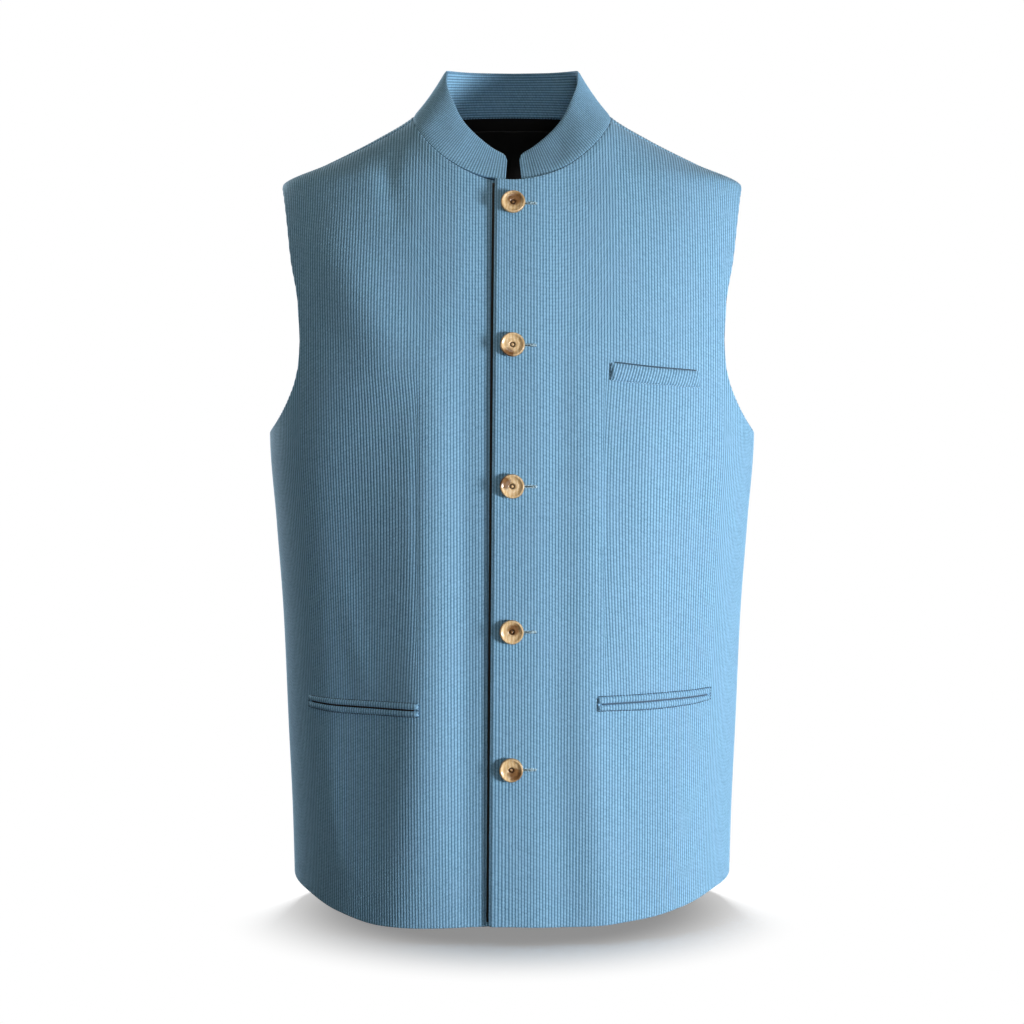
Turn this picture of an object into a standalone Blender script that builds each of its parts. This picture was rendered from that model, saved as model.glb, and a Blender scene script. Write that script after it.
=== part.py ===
"""Nehru jacket: sleeveless, stand collar, five buttons, one breast pocket and two lower pockets.

Sizes are in metres. +Z is up and the front faces -Y, so the wearer's left is at +X. The origin is the
centre of the neck, at the height where the shoulder seams meet the collar. The jacket is filled out:
every cloth piece is a thin wall on the rounded form that it is cut for.
"""

import math

import bmesh
import bpy
import numpy as np
from mathutils import Vector

# Walls and gaps
CLOTH_WALL = 0.0020
LINING_WALL = 0.0010
COLLAR_OUTER_WALL = 0.0014
COLLAR_INNER_WALL = 0.0012
LIP_WALL = 0.0015
LIP_GAP = 0.0006
SEAM_GAP = 0.0003
SIDE_GAP = 0.0002

# The body form, as level sections from the neck down to the hem. Each half is a superellipse.
SECTION_COLUMNS = ("height", "half_width", "front_depth", "back_depth", "roundness")
SECTIONS = (
    (0.016, 0.0700, 0.0400, 0.0500, 2.00),
    (0.000, 0.0855, 0.0500, 0.0600, 2.00),
    (-0.020, 0.1190, 0.0590, 0.0740, 2.00),
    (-0.040, 0.1590, 0.0680, 0.0860, 2.05),
    (-0.0575, 0.1965, 0.0750, 0.0940, 2.10),
    (-0.080, 0.2030, 0.0840, 0.1020, 2.20),
    (-0.120, 0.2070, 0.0960, 0.1110, 2.30),
    (-0.180, 0.2085, 0.1070, 0.1185, 2.35),
    (-0.270, 0.2090, 0.1160, 0.1180, 2.35),
    (-0.345, 0.2040, 0.1170, 0.1120, 2.35),
    (-0.430, 0.1985, 0.1160, 0.1070, 2.35),
    (-0.520, 0.1955, 0.1150, 0.1080, 2.30),
    (-0.600, 0.1925, 0.1140, 0.1120, 2.30),
    (-0.680, 0.1910, 0.1130, 0.1150, 2.30),
)
SECTION_STEPS = 96
SLOPE_STEP = 0.0005

# Cutting lines
UNDERARM = -0.270
SHOULDER_TIP = -0.0575
TIP_X = 0.1962
SEAM_TIP_DROP = 0.0001
SHOULDER_TRIM = 0.0009
ARMHOLE_WAIST = -0.190
ARMHOLE_COLUMNS = ("height", "front_edge", "back_edge")
ARMHOLE = (
    (-0.0575, 0.1965, 0.1965),
    (-0.070, 0.1930, 0.1945),
    (-0.090, 0.1895, 0.1925),
    (-0.124, 0.1845, 0.1895),
    (-0.157, 0.1782, 0.1870),
    (-0.190, 0.1763, 0.1860),
    (-0.206, 0.1770, 0.1865),
    (-0.223, 0.1805, 0.1885),
    (-0.241, 0.1880, 0.1935),
    (-0.258, 0.1985, 0.2010),
    (-0.270, 0.2090, 0.2090),
)
NECK_HALF_WIDTH = 0.0855
NECK_CORNER = 0.0845
FRONT_NECK_DROP = 0.0590
FRONT_NECK_POWER = 1.48
BACK_NECK_RISE = 0.0072
HEM_COLUMNS = ("arc_share", "left_front", "right_front", "back")
HEM = (
    (0.00, -0.6725, -0.6725, -0.6690),
    (0.18, -0.6735, -0.6744, -0.6690),
    (0.42, -0.6705, -0.6758, -0.6675),
    (0.60, -0.6635, -0.6690, -0.6640),
    (0.78, -0.6545, -0.6580, -0.6575),
    (1.00, -0.6515, -0.6515, -0.6515),
)

# The front lap: the wearer's left front lies on the right one.
LAP = 0.016
LAP_TOP_SCALE = 0.84
LAP_HEM_SCALE = 1.17
UNDERLAP = 0.013
LAP_RISE = 0.0012
UNDERLAP_FALL = 0.0014
LAP_FADE_START = 0.016
LAP_FADE_END = 0.048

# How far ribs near the side seam close up towards the hem, as shares of the panel's width.
EASE_START = 0.35

# Largest folds: a soft trough (negative) or ridge on one panel, between two points on it.
FOLD_COLUMNS = ("panel", "arc_top", "z_top", "arc_low", "z_low", "half_width", "height")
FOLDS = (
    ("right_front", 0.132, -0.225, 0.140, -0.630, 0.036, -0.0048),
    ("right_front", 0.084, -0.300, 0.092, -0.560, 0.012, 0.0012),
    ("right_front", 0.088, -0.490, 0.128, -0.670, 0.024, 0.0028),
    ("left_front", 0.138, -0.240, 0.142, -0.600, 0.034, -0.0032),
    ("left_front", 0.084, -0.300, 0.086, -0.540, 0.013, 0.0010),
    ("left_front", 0.026, -0.470, 0.086, -0.672, 0.020, -0.0026),
    ("back", 0.118, -0.260, 0.122, -0.640, 0.034, -0.0034),
    ("back", -0.124, -0.240, -0.116, -0.620, 0.036, -0.0030),
    ("back", 0.030, -0.420, 0.058, -0.668, 0.026, 0.0022),
)

# Stand collar: its upper edge as a loop round the neck, from the centre back to the centre front.
COLLAR_COLUMNS = ("turn_deg", "half_width", "depth", "height")
COLLAR_TOP = (
    (-90.0, 0.0, 0.0450, 0.0437),
    (-60.0, 0.0288, 0.0415, 0.0436),
    (-30.0, 0.0498, 0.0285, 0.0432),
    (-8.0, 0.0572, 0.0120, 0.0415),
    (10.0, 0.0568, -0.0030, 0.0320),
    (33.0, 0.0482, -0.0235, 0.0080),
    (46.0, 0.0408, -0.0330, -0.0060),
    (62.0, 0.0267, -0.0435, -0.0215),
    (80.0, 0.0104, -0.0515, -0.0335),
    (90.0, 0.0, -0.0535, -0.0370),
)
COLLAR_LEFT_END = 0.0085
COLLAR_RIGHT_END = 0.0060
COLLAR_END_RADIUS = 0.0080
COLLAR_END_DROP = 0.28
COLLAR_SEAM_LIFT = 0.0008
COLLAR_FRONT_LIFT = 0.0008
COLLAR_INNER_TOP_SHARE = 0.97

# Back lining
LINING_INSET = 0.009
LINING_HEM_INSET = 0.018
LINING_GAP = 0.0025

# Pockets: the lines of their lips on the front panels, from the inner end to the outer one.
WELT_COLUMNS = ("arc", "top", "bottom")
CHEST_WELT = (
    (0.0805, -0.2080, -0.2225),
    (0.1200, -0.2125, -0.2260),
    (0.1585, -0.2155, -0.2285),
)
JET_COLUMNS = ("arc", "top", "mouth", "bottom")
MOUTH_GAP = 0.0006
LEFT_JETS = (
    (0.0700, -0.4810, -0.4873, -0.4925),
    (0.1200, -0.4812, -0.4872, -0.4938),
    (0.1560, -0.4812, -0.4870, -0.4930),
    (0.1830, -0.4805, -0.4862, -0.4905),
)
RIGHT_JETS = (
    (0.0760, -0.4860, -0.4918, -0.4970),
    (0.1160, -0.4875, -0.4930, -0.4985),
    (0.1560, -0.4885, -0.4937, -0.4995),
    (0.1900, -0.4880, -0.4925, -0.4975),
)

# Buttons
BUTTON_HEIGHTS = (-0.0794, -0.1942, -0.3077, -0.4263, -0.5404)
BUTTON_TOP_SHIFT = 0.0008
BUTTON_LOW_SHIFT = -0.0006
BUTTON_RADIUS = 0.0100
BUTTON_LIFT = 0.0012
BUTTON_STEPS = 16
BUTTON_PROFILE_COLUMNS = ("radius", "height")
BUTTON_PROFILE = (
    (0.0, 0.0024),
    (0.0010, 0.0021),
    (0.0013, 0.0012),
    (0.0025, 0.0013),
    (0.0030, 0.0021),
    (0.0078, 0.0024),
    (0.0090, 0.0031),
    (0.0098, 0.0027),
    (0.0100, 0.0015),
    (0.0086, 0.0002),
    (0.0, 0.0),
)

# Steps of the cloth's grids
COLUMN_STEP = 0.0185
NECK_STEPS = 7
LINING_COARSENESS = 1.7
HEM_ROWS = 15
SHOULDER_ROWS = 9
WRAP_ROWS = 2
LOWER_BUNCHING = 1.0
UPPER_BUNCHING = 2.0
LOW_ARMHOLE_STEPS = 6
HIGH_ARMHOLE_STEPS = 3
ARMHOLE_SPACING = 1.35
PATH_SAMPLES = 160
NECK_SAMPLES = 90
CREST_SAMPLES = 12
COLLAR_STEPS = 36
COLLAR_ROWS = 3
CORNER_STEPS = 3
LIP_STEPS = 10
NORMAL_STEP = 0.001
WELD = 1e-6
SHARP_ANGLE = math.radians(40)


# ---------------------------------------------------------------- smooth tables

def smooth(at, xs, ys):
    """Monotone cubic through the points (xs, ys), xs rising."""
    at, xs, ys = (np.asarray(values, float) for values in (at, xs, ys))
    step = np.diff(xs)
    slope = np.diff(ys) / step
    tangent = np.zeros(len(xs))
    same = slope[:-1] * slope[1:] > 0
    tangent[1:-1][same] = 2 * slope[:-1][same] * slope[1:][same] / (slope[:-1] + slope[1:])[same]
    tangent[0], tangent[-1] = slope[0], slope[-1]
    index = np.clip(np.searchsorted(xs, at) - 1, 0, len(step) - 1)
    t = np.clip((at - xs[index]) / step[index], 0, 1)
    low, high = ys[index], ys[index + 1]
    return (
        low * (1 + 2 * t) * (1 - t) ** 2
        + high * t * t * (3 - 2 * t)
        + step[index] * t * (1 - t) * (tangent[index] * (1 - t) - tangent[index + 1] * t)
    )


def column(table, names, name):
    return np.array([row[names.index(name)] for row in table], float)


def at_height(table, names, name, z):
    heights = column(table, names, "height")
    values = column(table, names, name)
    order = np.argsort(heights)
    return smooth(z, heights[order], values[order])


def ease(t):
    t = np.clip(t, 0, 1)
    return t * t * (3 - 2 * t)


# ---------------------------------------------------------------- the body form

def section(z, half):
    """Half width, depth and roundness of the form at height z, for its front or its back half."""
    return (
        at_height(SECTIONS, SECTION_COLUMNS, "half_width", z),
        at_height(SECTIONS, SECTION_COLUMNS, half + "_depth", z),
        at_height(SECTIONS, SECTION_COLUMNS, "roundness", z),
    )


def section_path(z, half):
    """Points of a quarter section at each height, from the centre line round to the side, with arc lengths."""
    width, depth, roundness = (np.asarray(v)[..., None] for v in section(z, half))
    turn = np.linspace(0, math.pi / 2, SECTION_STEPS)
    x = width * np.sin(turn) ** (2 / roundness)
    y = depth * np.cos(turn) ** (2 / roundness)
    length = np.hypot(np.diff(x), np.diff(y))
    arc = np.concatenate([np.zeros(x.shape[:-1] + (1,)), np.cumsum(length, axis=-1)], axis=-1)
    return x, y, arc


def along(arc, wanted, values):
    """Values at the wanted arc length, one row for each section."""
    index = np.clip((arc <= wanted[..., None]).sum(-1) - 1, 0, arc.shape[-1] - 2)[..., None]
    a, b = (np.take_along_axis(arc, index + k, -1)[..., 0] for k in (0, 1))
    low, high = (np.take_along_axis(values, index + k, -1)[..., 0] for k in (0, 1))
    return low + (high - low) * np.clip((wanted - a) / (b - a), 0, 1)


# A quarter of the girth at the underarm, for each half.
FULL = {half: float(section_path(UNDERARM, half)[2][-1]) for half in ("front", "back")}


def x_of_arc(arc, half):
    x, _, lengths = section_path(np.full(np.shape(arc), UNDERARM), half)
    return along(lengths, np.asarray(arc, float), x)


def arc_of_x(x, half):
    arcs = np.linspace(0, FULL[half], 400)
    return np.interp(x, x_of_arc(arcs, half), arcs)


def form_point(arc, z, half):
    """Point of the form. The arc is measured from the centre line at the underarm, positive to +X."""
    arc, z = np.broadcast_arrays(np.asarray(arc, float), np.asarray(z, float))
    side, reach = np.sign(arc), np.abs(arc)
    width, depth, roundness = section(z, half)
    x_high = x_of_arc(reach, half)
    inside = np.clip(1 - (x_high / width) ** roundness, 0, 1)
    y_high = depth * inside ** (1 / roundness)
    x_path, y_path, lengths = section_path(z, half)
    taper = ease((reach / FULL[half] - EASE_START) / (1 - EASE_START))
    low_arc = reach - (FULL[half] - lengths[..., -1]) * taper
    low = z < UNDERARM
    x = np.where(low, along(lengths, low_arc, x_path), x_high)
    y = np.where(low, along(lengths, low_arc, y_path), y_high)
    return np.stack([side * x, y if half == "back" else -y, z], -1)


def outward(points):
    """Unit normals of the form at points on it."""
    x, y, z = points[..., 0], points[..., 1], points[..., 2]

    def share(height):
        front = section(height, "front")
        back = section(height, "back")
        depth = np.where(y > 0, back[1], front[1])
        return np.abs(x) / front[0], np.abs(y) / depth, front[0], depth, front[2]

    across, deep, width, depth, power = share(z)
    level = across**power + deep**power
    across_up, deep_up, _, _, power_up = share(z + SLOPE_STEP)
    rise = (across_up**power_up + deep_up**power_up - level) / SLOPE_STEP
    normal = np.stack(
        [
            np.sign(x) * power / width * across ** (power - 1),
            np.sign(y) * power / depth * deep ** (power - 1),
            rise,
        ],
        -1,
    )
    return normal / np.linalg.norm(normal, axis=-1, keepdims=True)


# ---------------------------------------------------------------- relief of the panels

def fold_relief(panel, arc, z):
    height = np.zeros(np.shape(arc))
    for name, arc_top, z_top, arc_low, z_low, half_width, fold_height in FOLDS:
        if name != panel:
            continue
        run = np.array([arc_low - arc_top, z_low - z_top])
        length = math.hypot(*run)
        down = ((arc - arc_top) * run[0] + (z - z_top) * run[1]) / length**2
        across = ((arc - arc_top) * run[1] - (z - z_top) * run[0]) / length
        ends = np.sin(math.pi * np.clip(down, 0, 1)) ** 0.8
        height = height + fold_height * ends * np.exp(-((across / half_width) ** 2))
    if panel != "back":
        height = height * ease((arc - LAP_FADE_START) / (LAP_FADE_END - LAP_FADE_START))
    return height


def panel_point(panel, arc, z, lift=0.0, wrap=False):
    """Point on a panel's outer face, moved out by lift. The arc runs out from the centre of the panel.

    On the back panel, wrap takes the point on the front side of the shoulder.
    """
    arc, z = np.broadcast_arrays(np.asarray(arc, float), np.asarray(z, float))
    if panel == "back":
        base = form_point(arc, z, "back")
        if wrap:
            x = base[..., 0]
            width, depth, power = section(z, "front")
            share = np.clip(1 - (np.abs(x) / width) ** power, 0, 1)
            base[..., 1] = -depth * share ** (1 / power)
        return base + outward(base) * (fold_relief(panel, arc, z) + lift)[..., None]
    down = (z + FRONT_NECK_DROP) / (column(HEM, HEM_COLUMNS, "left_front")[0] + FRONT_NECK_DROP)
    scale = LAP_TOP_SCALE + (LAP_HEM_SCALE - LAP_TOP_SCALE) * np.clip(down, 0, 1)
    near = 1 - ease((arc - LAP_FADE_START) / (LAP_FADE_END - LAP_FADE_START))
    placed = np.where(arc < 0, arc * scale, arc)
    if panel == "left_front":
        base = form_point(placed, z, "front")
        layer = LAP_RISE * near
    else:
        base = form_point(-placed, z, "front")
        layer = -UNDERLAP_FALL * near
    return base + outward(base) * (fold_relief(panel, arc, z) + layer + lift)[..., None]


# ---------------------------------------------------------------- cutting lines

def ridge(x):
    """Height of the shoulder line at x."""
    heights = np.linspace(SECTIONS[0][0], SHOULDER_TIP, 200)
    return np.interp(x, section(heights, "front")[0], heights)


def front_neck(x):
    cosine = np.clip(x / NECK_HALF_WIDTH, 0, 1)
    return -FRONT_NECK_DROP * np.sqrt(1 - cosine**2) ** FRONT_NECK_POWER


def back_neck(x):
    return BACK_NECK_RISE * (1 - np.clip(x / NECK_CORNER, 0, 1) ** 2)


def seam_drop(x):
    """How far the shoulder seam lies below the shoulder line, on the front side."""
    full = ridge(NECK_CORNER) - front_neck(NECK_CORNER)
    return SEAM_TIP_DROP + (full - SEAM_TIP_DROP) * np.clip((TIP_X - x) / (TIP_X - NECK_CORNER), 0, 1)


def armhole_height(x, half, end):
    """Height of the armhole at x, on its branch from the narrowest level to the end level."""
    heights = np.linspace(ARMHOLE_WAIST, end, PATH_SAMPLES)
    edges = at_height(ARMHOLE, ARMHOLE_COLUMNS, half + "_edge", heights)
    return np.interp(x, edges, heights)


def hem_height(panel, arc, half):
    return smooth(
        np.abs(arc) / FULL[half], column(HEM, HEM_COLUMNS, "arc_share"), column(HEM, HEM_COLUMNS, panel)
    )


# ---------------------------------------------------------------- meshes

def clear_scene():
    for obj in list(bpy.data.objects):
        bpy.data.objects.remove(obj, do_unlink=True)


def make_collection(name):
    collection = bpy.data.collections.new(name)
    bpy.context.scene.collection.children.link(collection)
    return collection


def make_material(name, color, roughness):
    material = bpy.data.materials.new(name)
    material.use_nodes = True
    shader = material.node_tree.nodes["Principled BSDF"]
    shader.inputs["Base Color"].default_value = (*color, 1.0)
    shader.inputs["Roughness"].default_value = roughness
    return material


def add_grid(bm, points):
    """Quads over a grid of points, rows by columns."""
    rows, columns = points.shape[:2]
    verts = [[bm.verts.new(points[i, j]) for j in range(columns)] for i in range(rows)]
    for i in range(rows - 1):
        for j in range(columns - 1):
            bm.faces.new((verts[i][j], verts[i][j + 1], verts[i + 1][j + 1], verts[i + 1][j]))


def mesh_object(name, bm, material):
    mesh = bpy.data.meshes.new(name)
    bm.to_mesh(mesh)
    bm.free()
    mesh.materials.append(material)
    mesh.shade_smooth()
    mesh.set_sharp_from_angle(angle=SHARP_ANGLE)
    return bpy.data.objects.new(name, mesh)


def cloth(name, grids, wall, material, faces_back):
    """An open sheet of grids that share edges, thickened inwards from its outer face."""
    bm = bmesh.new()
    for points in grids:
        add_grid(bm, points)
    bmesh.ops.remove_doubles(bm, verts=bm.verts, dist=WELD)
    if faces_back:
        bmesh.ops.reverse_faces(bm, faces=bm.faces)
    obj = mesh_object(name, bm, material)
    modifier = obj.modifiers.new("wall", "SOLIDIFY")
    modifier.thickness = wall
    modifier.offset = -1
    return obj


# ---------------------------------------------------------------- panels

def even_rows(paths, count, trim=0.0):
    """Points at equal shares of each path's length, less the trim, as a grid of rows by paths."""
    steps = np.linalg.norm(np.diff(paths, axis=1), axis=2)
    lengths = np.concatenate([np.zeros((len(paths), 1)), np.cumsum(steps, axis=1)], axis=1)
    found = []
    for points, length in zip(paths, lengths):
        wanted = np.linspace(0, length[-1] - trim, count + 1)
        found.append([np.interp(wanted, length, points[:, k]) for k in range(3)])
    return np.array(found).transpose(2, 0, 1)


def upright_grid(panel, arcs, low, high, count, lift, bunching, trim=0.0):
    """A grid whose columns run from the heights low to the heights high, sampled closer near the high end."""
    t = np.linspace(0, 1, PATH_SAMPLES)
    heights = high[:, None] - (high - low)[:, None] * (1 - t) ** bunching
    return even_rows(panel_point(panel, arcs[:, None], heights, lift), count, trim)


def spaced(start, stop, step):
    return np.linspace(start, stop, max(1, round((stop - start) / step)) + 1)


def half_panel(panel, start, side=1, inset=0.0, hem_inset=0.0, lift=0.0, coarse=1):
    """The grids from a panel's centre or front edge out to its side seam.

    The lower grid ends at the armhole's lower branch, and the upper one starts at its upper branch.
    """
    half = "back" if panel == "back" else "front"
    narrow = float(at_height(ARMHOLE, ARMHOLE_COLUMNS, half + "_edge", ARMHOLE_WAIST))
    corner, waist, tip = arc_of_x(np.array([NECK_CORNER, narrow - inset, TIP_X - inset]), half)
    neck_turn = np.sin(np.linspace(0, math.pi / 2, round(NECK_STEPS / coarse) + 1))
    step = COLUMN_STEP * coarse
    inner = np.concatenate([start + (corner - start) * neck_turn, spaced(corner, waist, step)[1:]])
    outer = FULL[half] - max(inset, SIDE_GAP)

    turn = np.linspace(0, 1, round(LOW_ARMHOLE_STEPS / coarse) + 1)[1:] ** ARMHOLE_SPACING
    arcs = np.concatenate([inner, waist + (outer - waist) * turn])
    x = x_of_arc(np.abs(arcs), half)
    high = np.where(arcs > waist, armhole_height(x + inset, half, UNDERARM), ARMHOLE_WAIST)
    low = hem_height(panel, np.maximum(arcs, 0), half) + hem_inset
    lower = upright_grid(panel, side * arcs, low, high, round(HEM_ROWS / coarse), lift, LOWER_BUNCHING)

    turn = np.linspace(0, 1, HIGH_ARMHOLE_STEPS + 1)[1:] ** ARMHOLE_SPACING
    arcs = np.concatenate([inner, waist + (tip - waist) * turn])
    x = x_of_arc(np.abs(arcs), half)
    low = np.where(arcs > waist, armhole_height(x + inset, half, SHOULDER_TIP), ARMHOLE_WAIST)
    shoulder = ridge(x) if half == "back" else ridge(x) - seam_drop(x)
    neck = back_neck(x) if half == "back" else front_neck(x)
    high = np.where(arcs <= corner, neck, shoulder) - inset
    trim = SHOULDER_TRIM if half == "front" else 0.0
    rows = round(SHOULDER_ROWS / coarse)
    upper = upright_grid(panel, side * arcs, low, high, rows, lift, UPPER_BUNCHING, trim)
    return arcs, corner, lower, upper


def shoulder_wrap(arcs, last_row, side):
    """The strip of the back panel that crosses the shoulder line and ends at the shoulder seam."""
    x = x_of_arc(arcs, "back")
    t = np.linspace(0, 1, PATH_SAMPLES)
    heights = ridge(x)[:, None] - seam_drop(x)[:, None] * t**2
    paths = panel_point("back", side * arcs[:, None], heights, wrap=True)
    paths = np.concatenate([last_row[:, None, :], paths[:, 1:]], axis=1)
    return even_rows(paths, WRAP_ROWS)


def front_panel(name, panel, start, material):
    _, _, lower, upper = half_panel(panel, start)
    return cloth(name, [lower, upper], CLOTH_WALL, material, faces_back=panel == "right_front")


def back_panel(material):
    grids = []
    for side in (1, -1):
        arcs, corner, lower, upper = half_panel("back", 0.0, side)
        over = arcs >= corner
        strip = shoulder_wrap(arcs[over], upper[-1, over], side)
        grids += [grid[:, ::side] for grid in (lower, upper, strip)]
    return cloth("back", grids, CLOTH_WALL, material, faces_back=True)


def back_lining(material):
    grids = []
    for side in (1, -1):
        _, _, lower, upper = half_panel(
            "back", 0.0, side, LINING_INSET, LINING_HEM_INSET, -(CLOTH_WALL + LINING_GAP), LINING_COARSENESS
        )
        grids += [grid[:, ::side] for grid in (lower, upper)]
    return cloth("lining_back", grids, LINING_WALL, material, faces_back=True)


# ---------------------------------------------------------------- collar

def spread(path, shares):
    """Points at shares of a path's length."""
    length = np.concatenate([[0], np.cumsum(np.linalg.norm(np.diff(path, axis=0), axis=1))])
    return np.stack([np.interp(shares * length[-1], length, path[:, k]) for k in range(3)], -1)


def neck_path():
    """The neckline from the centre back, over the shoulder, to the centre front."""
    turn = np.linspace(0, math.pi / 2, NECK_SAMPLES)
    x = NECK_CORNER * np.sin(turn)
    crest = ridge(NECK_CORNER)
    rise = crest + (back_neck(NECK_CORNER) - crest) * np.linspace(1, 0, CREST_SAMPLES) ** 2
    fall = crest + (front_neck(NECK_CORNER) - crest) * np.linspace(0, 1, CREST_SAMPLES) ** 2
    stretches = []
    for half, reach, z in (
        ("back", x, back_neck(x)),
        ("back", np.full(CREST_SAMPLES, NECK_CORNER), rise),
        ("front", np.full(CREST_SAMPLES, NECK_CORNER), fall),
        ("front", x[::-1], front_neck(x[::-1])),
    ):
        stretches.append(form_point(arc_of_x(reach, half), z, half))
    path = np.concatenate(stretches)
    steps = np.linalg.norm(np.diff(path, axis=0), axis=1)
    return path[np.concatenate([[True], steps > WELD])]


def collar_point(turn, share):
    """Point on the collar's outer face. The turn is 0 at the centre back and 1 or -1 at the centre front."""
    degrees = np.linspace(-90, 90, NECK_SAMPLES)
    angles = column(COLLAR_TOP, COLLAR_COLUMNS, "turn_deg")
    edge = np.stack(
        [smooth(degrees, angles, column(COLLAR_TOP, COLLAR_COLUMNS, name)) for name in COLLAR_COLUMNS[1:]], -1
    )
    reach = np.abs(turn)
    base, top = spread(neck_path(), reach), spread(edge, reach)
    along_wall = top - base
    height = np.linalg.norm(along_wall, axis=-1, keepdims=True)
    lift = COLLAR_SEAM_LIFT + COLLAR_FRONT_LIFT * ease(2 * reach - 1)[..., None]
    point = base + along_wall * (lift / height + share[..., None] * (1 - lift / height))
    point[..., 0] *= np.where(turn < 0, -1, 1)
    return point


def collar_grid(depth, top_share):
    """The collar's grid at a depth inside its outer face, from the wearer's right end to the left one."""
    length = np.linalg.norm(np.diff(neck_path(), axis=0), axis=1).sum()
    left, right = 1 - COLLAR_LEFT_END / length, 1 - COLLAR_RIGHT_END / length
    rounding = COLLAR_END_RADIUS / length
    corner = rounding * (1 - np.cos(np.linspace(0, math.pi / 2, CORNER_STEPS + 1)))
    middle = np.linspace(rounding - right, left - rounding, COLLAR_STEPS + 1)[1:-1]
    turns = np.concatenate([corner - right, middle, (left - corner)[::-1]])
    to_end = np.minimum(left - turns, right + turns) / rounding
    drop = 1 - np.sqrt(1 - np.clip(1 - to_end, 0, 1) ** 2)
    shares = np.linspace(0, 1, COLLAR_ROWS + 1)[:, None] * (top_share - COLLAR_END_DROP * drop)
    turns = np.broadcast_to(turns, shares.shape)
    around = collar_point(turns + NORMAL_STEP, shares) - collar_point(turns - NORMAL_STEP, shares)
    up = collar_point(turns, shares + NORMAL_STEP) - collar_point(turns, shares - NORMAL_STEP)
    normal = np.cross(up, around)
    normal /= np.linalg.norm(normal, axis=-1, keepdims=True)
    return collar_point(turns, shares) - depth * normal


def collar_layers(material):
    outer = collar_grid(0.0, 1.0)
    inner = collar_grid(COLLAR_OUTER_WALL + SEAM_GAP, COLLAR_INNER_TOP_SHARE)
    return [
        cloth("collar_outer", [outer], COLLAR_OUTER_WALL, material, faces_back=True),
        cloth("collar_inner", [inner], COLLAR_INNER_WALL, material, faces_back=True),
    ]


# ---------------------------------------------------------------- pockets and buttons

def lip(name, panel, table, names, top, bottom, top_gap, bottom_gap, material):
    """A narrow strip of cloth that lies on a front panel, between two of its table's lines."""
    stations = column(table, names, "arc")
    arcs = np.linspace(stations[0], stations[-1], LIP_STEPS + 1)
    high = smooth(arcs, stations, column(table, names, top)) - top_gap
    low = smooth(arcs, stations, column(table, names, bottom)) + bottom_gap
    heights = np.stack([low, high])
    points = panel_point(panel, np.broadcast_to(arcs, heights.shape), heights, LIP_GAP + LIP_WALL)
    return cloth(name, [points], LIP_WALL, material, faces_back=panel == "right_front")


def pockets(material):
    found = [lip("chest_welt", "left_front", CHEST_WELT, WELT_COLUMNS, "top", "bottom", 0, 0, material)]
    for side, panel, table in (("left", "left_front", LEFT_JETS), ("right", "right_front", RIGHT_JETS)):
        upper = lip(f"pocket_{side}_upper", panel, table, JET_COLUMNS, "top", "mouth", 0, MOUTH_GAP, material)
        lower = lip(f"pocket_{side}_lower", panel, table, JET_COLUMNS, "mouth", "bottom", MOUTH_GAP, 0, material)
        found += [upper, lower]
    return found


def button(number, z, material):
    """A turned disc with a raised rim and a bead in its middle well."""
    bm = bmesh.new()
    verts = [bm.verts.new((radius, 0, height)) for radius, height in BUTTON_PROFILE]
    for first, second in zip(verts, verts[1:]):
        bm.edges.new((first, second))
    obj = mesh_object(f"button_{number}", bm, material)
    turn = obj.modifiers.new("turn", "SCREW")
    turn.steps = turn.render_steps = BUTTON_STEPS
    turn.use_merge_vertices = True
    turn.merge_threshold = WELD
    share = (z - BUTTON_HEIGHTS[0]) / (BUTTON_HEIGHTS[-1] - BUTTON_HEIGHTS[0])
    arc = np.array([BUTTON_TOP_SHIFT + share * (BUTTON_LOW_SHIFT - BUTTON_TOP_SHIFT)])
    height = np.array([z])
    face = form_point(arc, height, "front")
    obj.location = panel_point("left_front", arc, height, BUTTON_LIFT)[0]
    obj.rotation_euler = Vector((0, 0, 1)).rotation_difference(Vector(outward(face)[0])).to_euler()
    return obj


def main():
    clear_scene()
    jacket = make_collection("nehru_jacket")
    blue = make_material("blue_cord", (0.22, 0.42, 0.62), 0.85)
    black = make_material("black_lining", (0.008, 0.008, 0.010), 0.55)
    horn = make_material("horn", (0.55, 0.38, 0.22), 0.35)
    pieces = [
        front_panel("front_left", "left_front", -LAP, blue),
        front_panel("front_right", "right_front", -UNDERLAP, blue),
        back_panel(blue),
        back_lining(black),
        *collar_layers(blue),
        *pockets(blue),
        *(button(number, z, horn) for number, z in enumerate(BUTTON_HEIGHTS, 1)),
    ]
    for piece in pieces:
        jacket.objects.link(piece)


main()
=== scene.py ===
# %% [markdown]
# # A sleeveless, stand-collared jacket in fine corded cloth
#
# The jacket is cut from two fronts, a back and a double collar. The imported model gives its
# plain walls, and this lesson covers them with worn cloth, cord by cord. We begin by loading
# those walls. They stay where they are, and every piece made below is fitted to them.

# %% Load the frame
import math

import bpy
import numpy as np
from mathutils import Matrix, Vector


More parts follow.
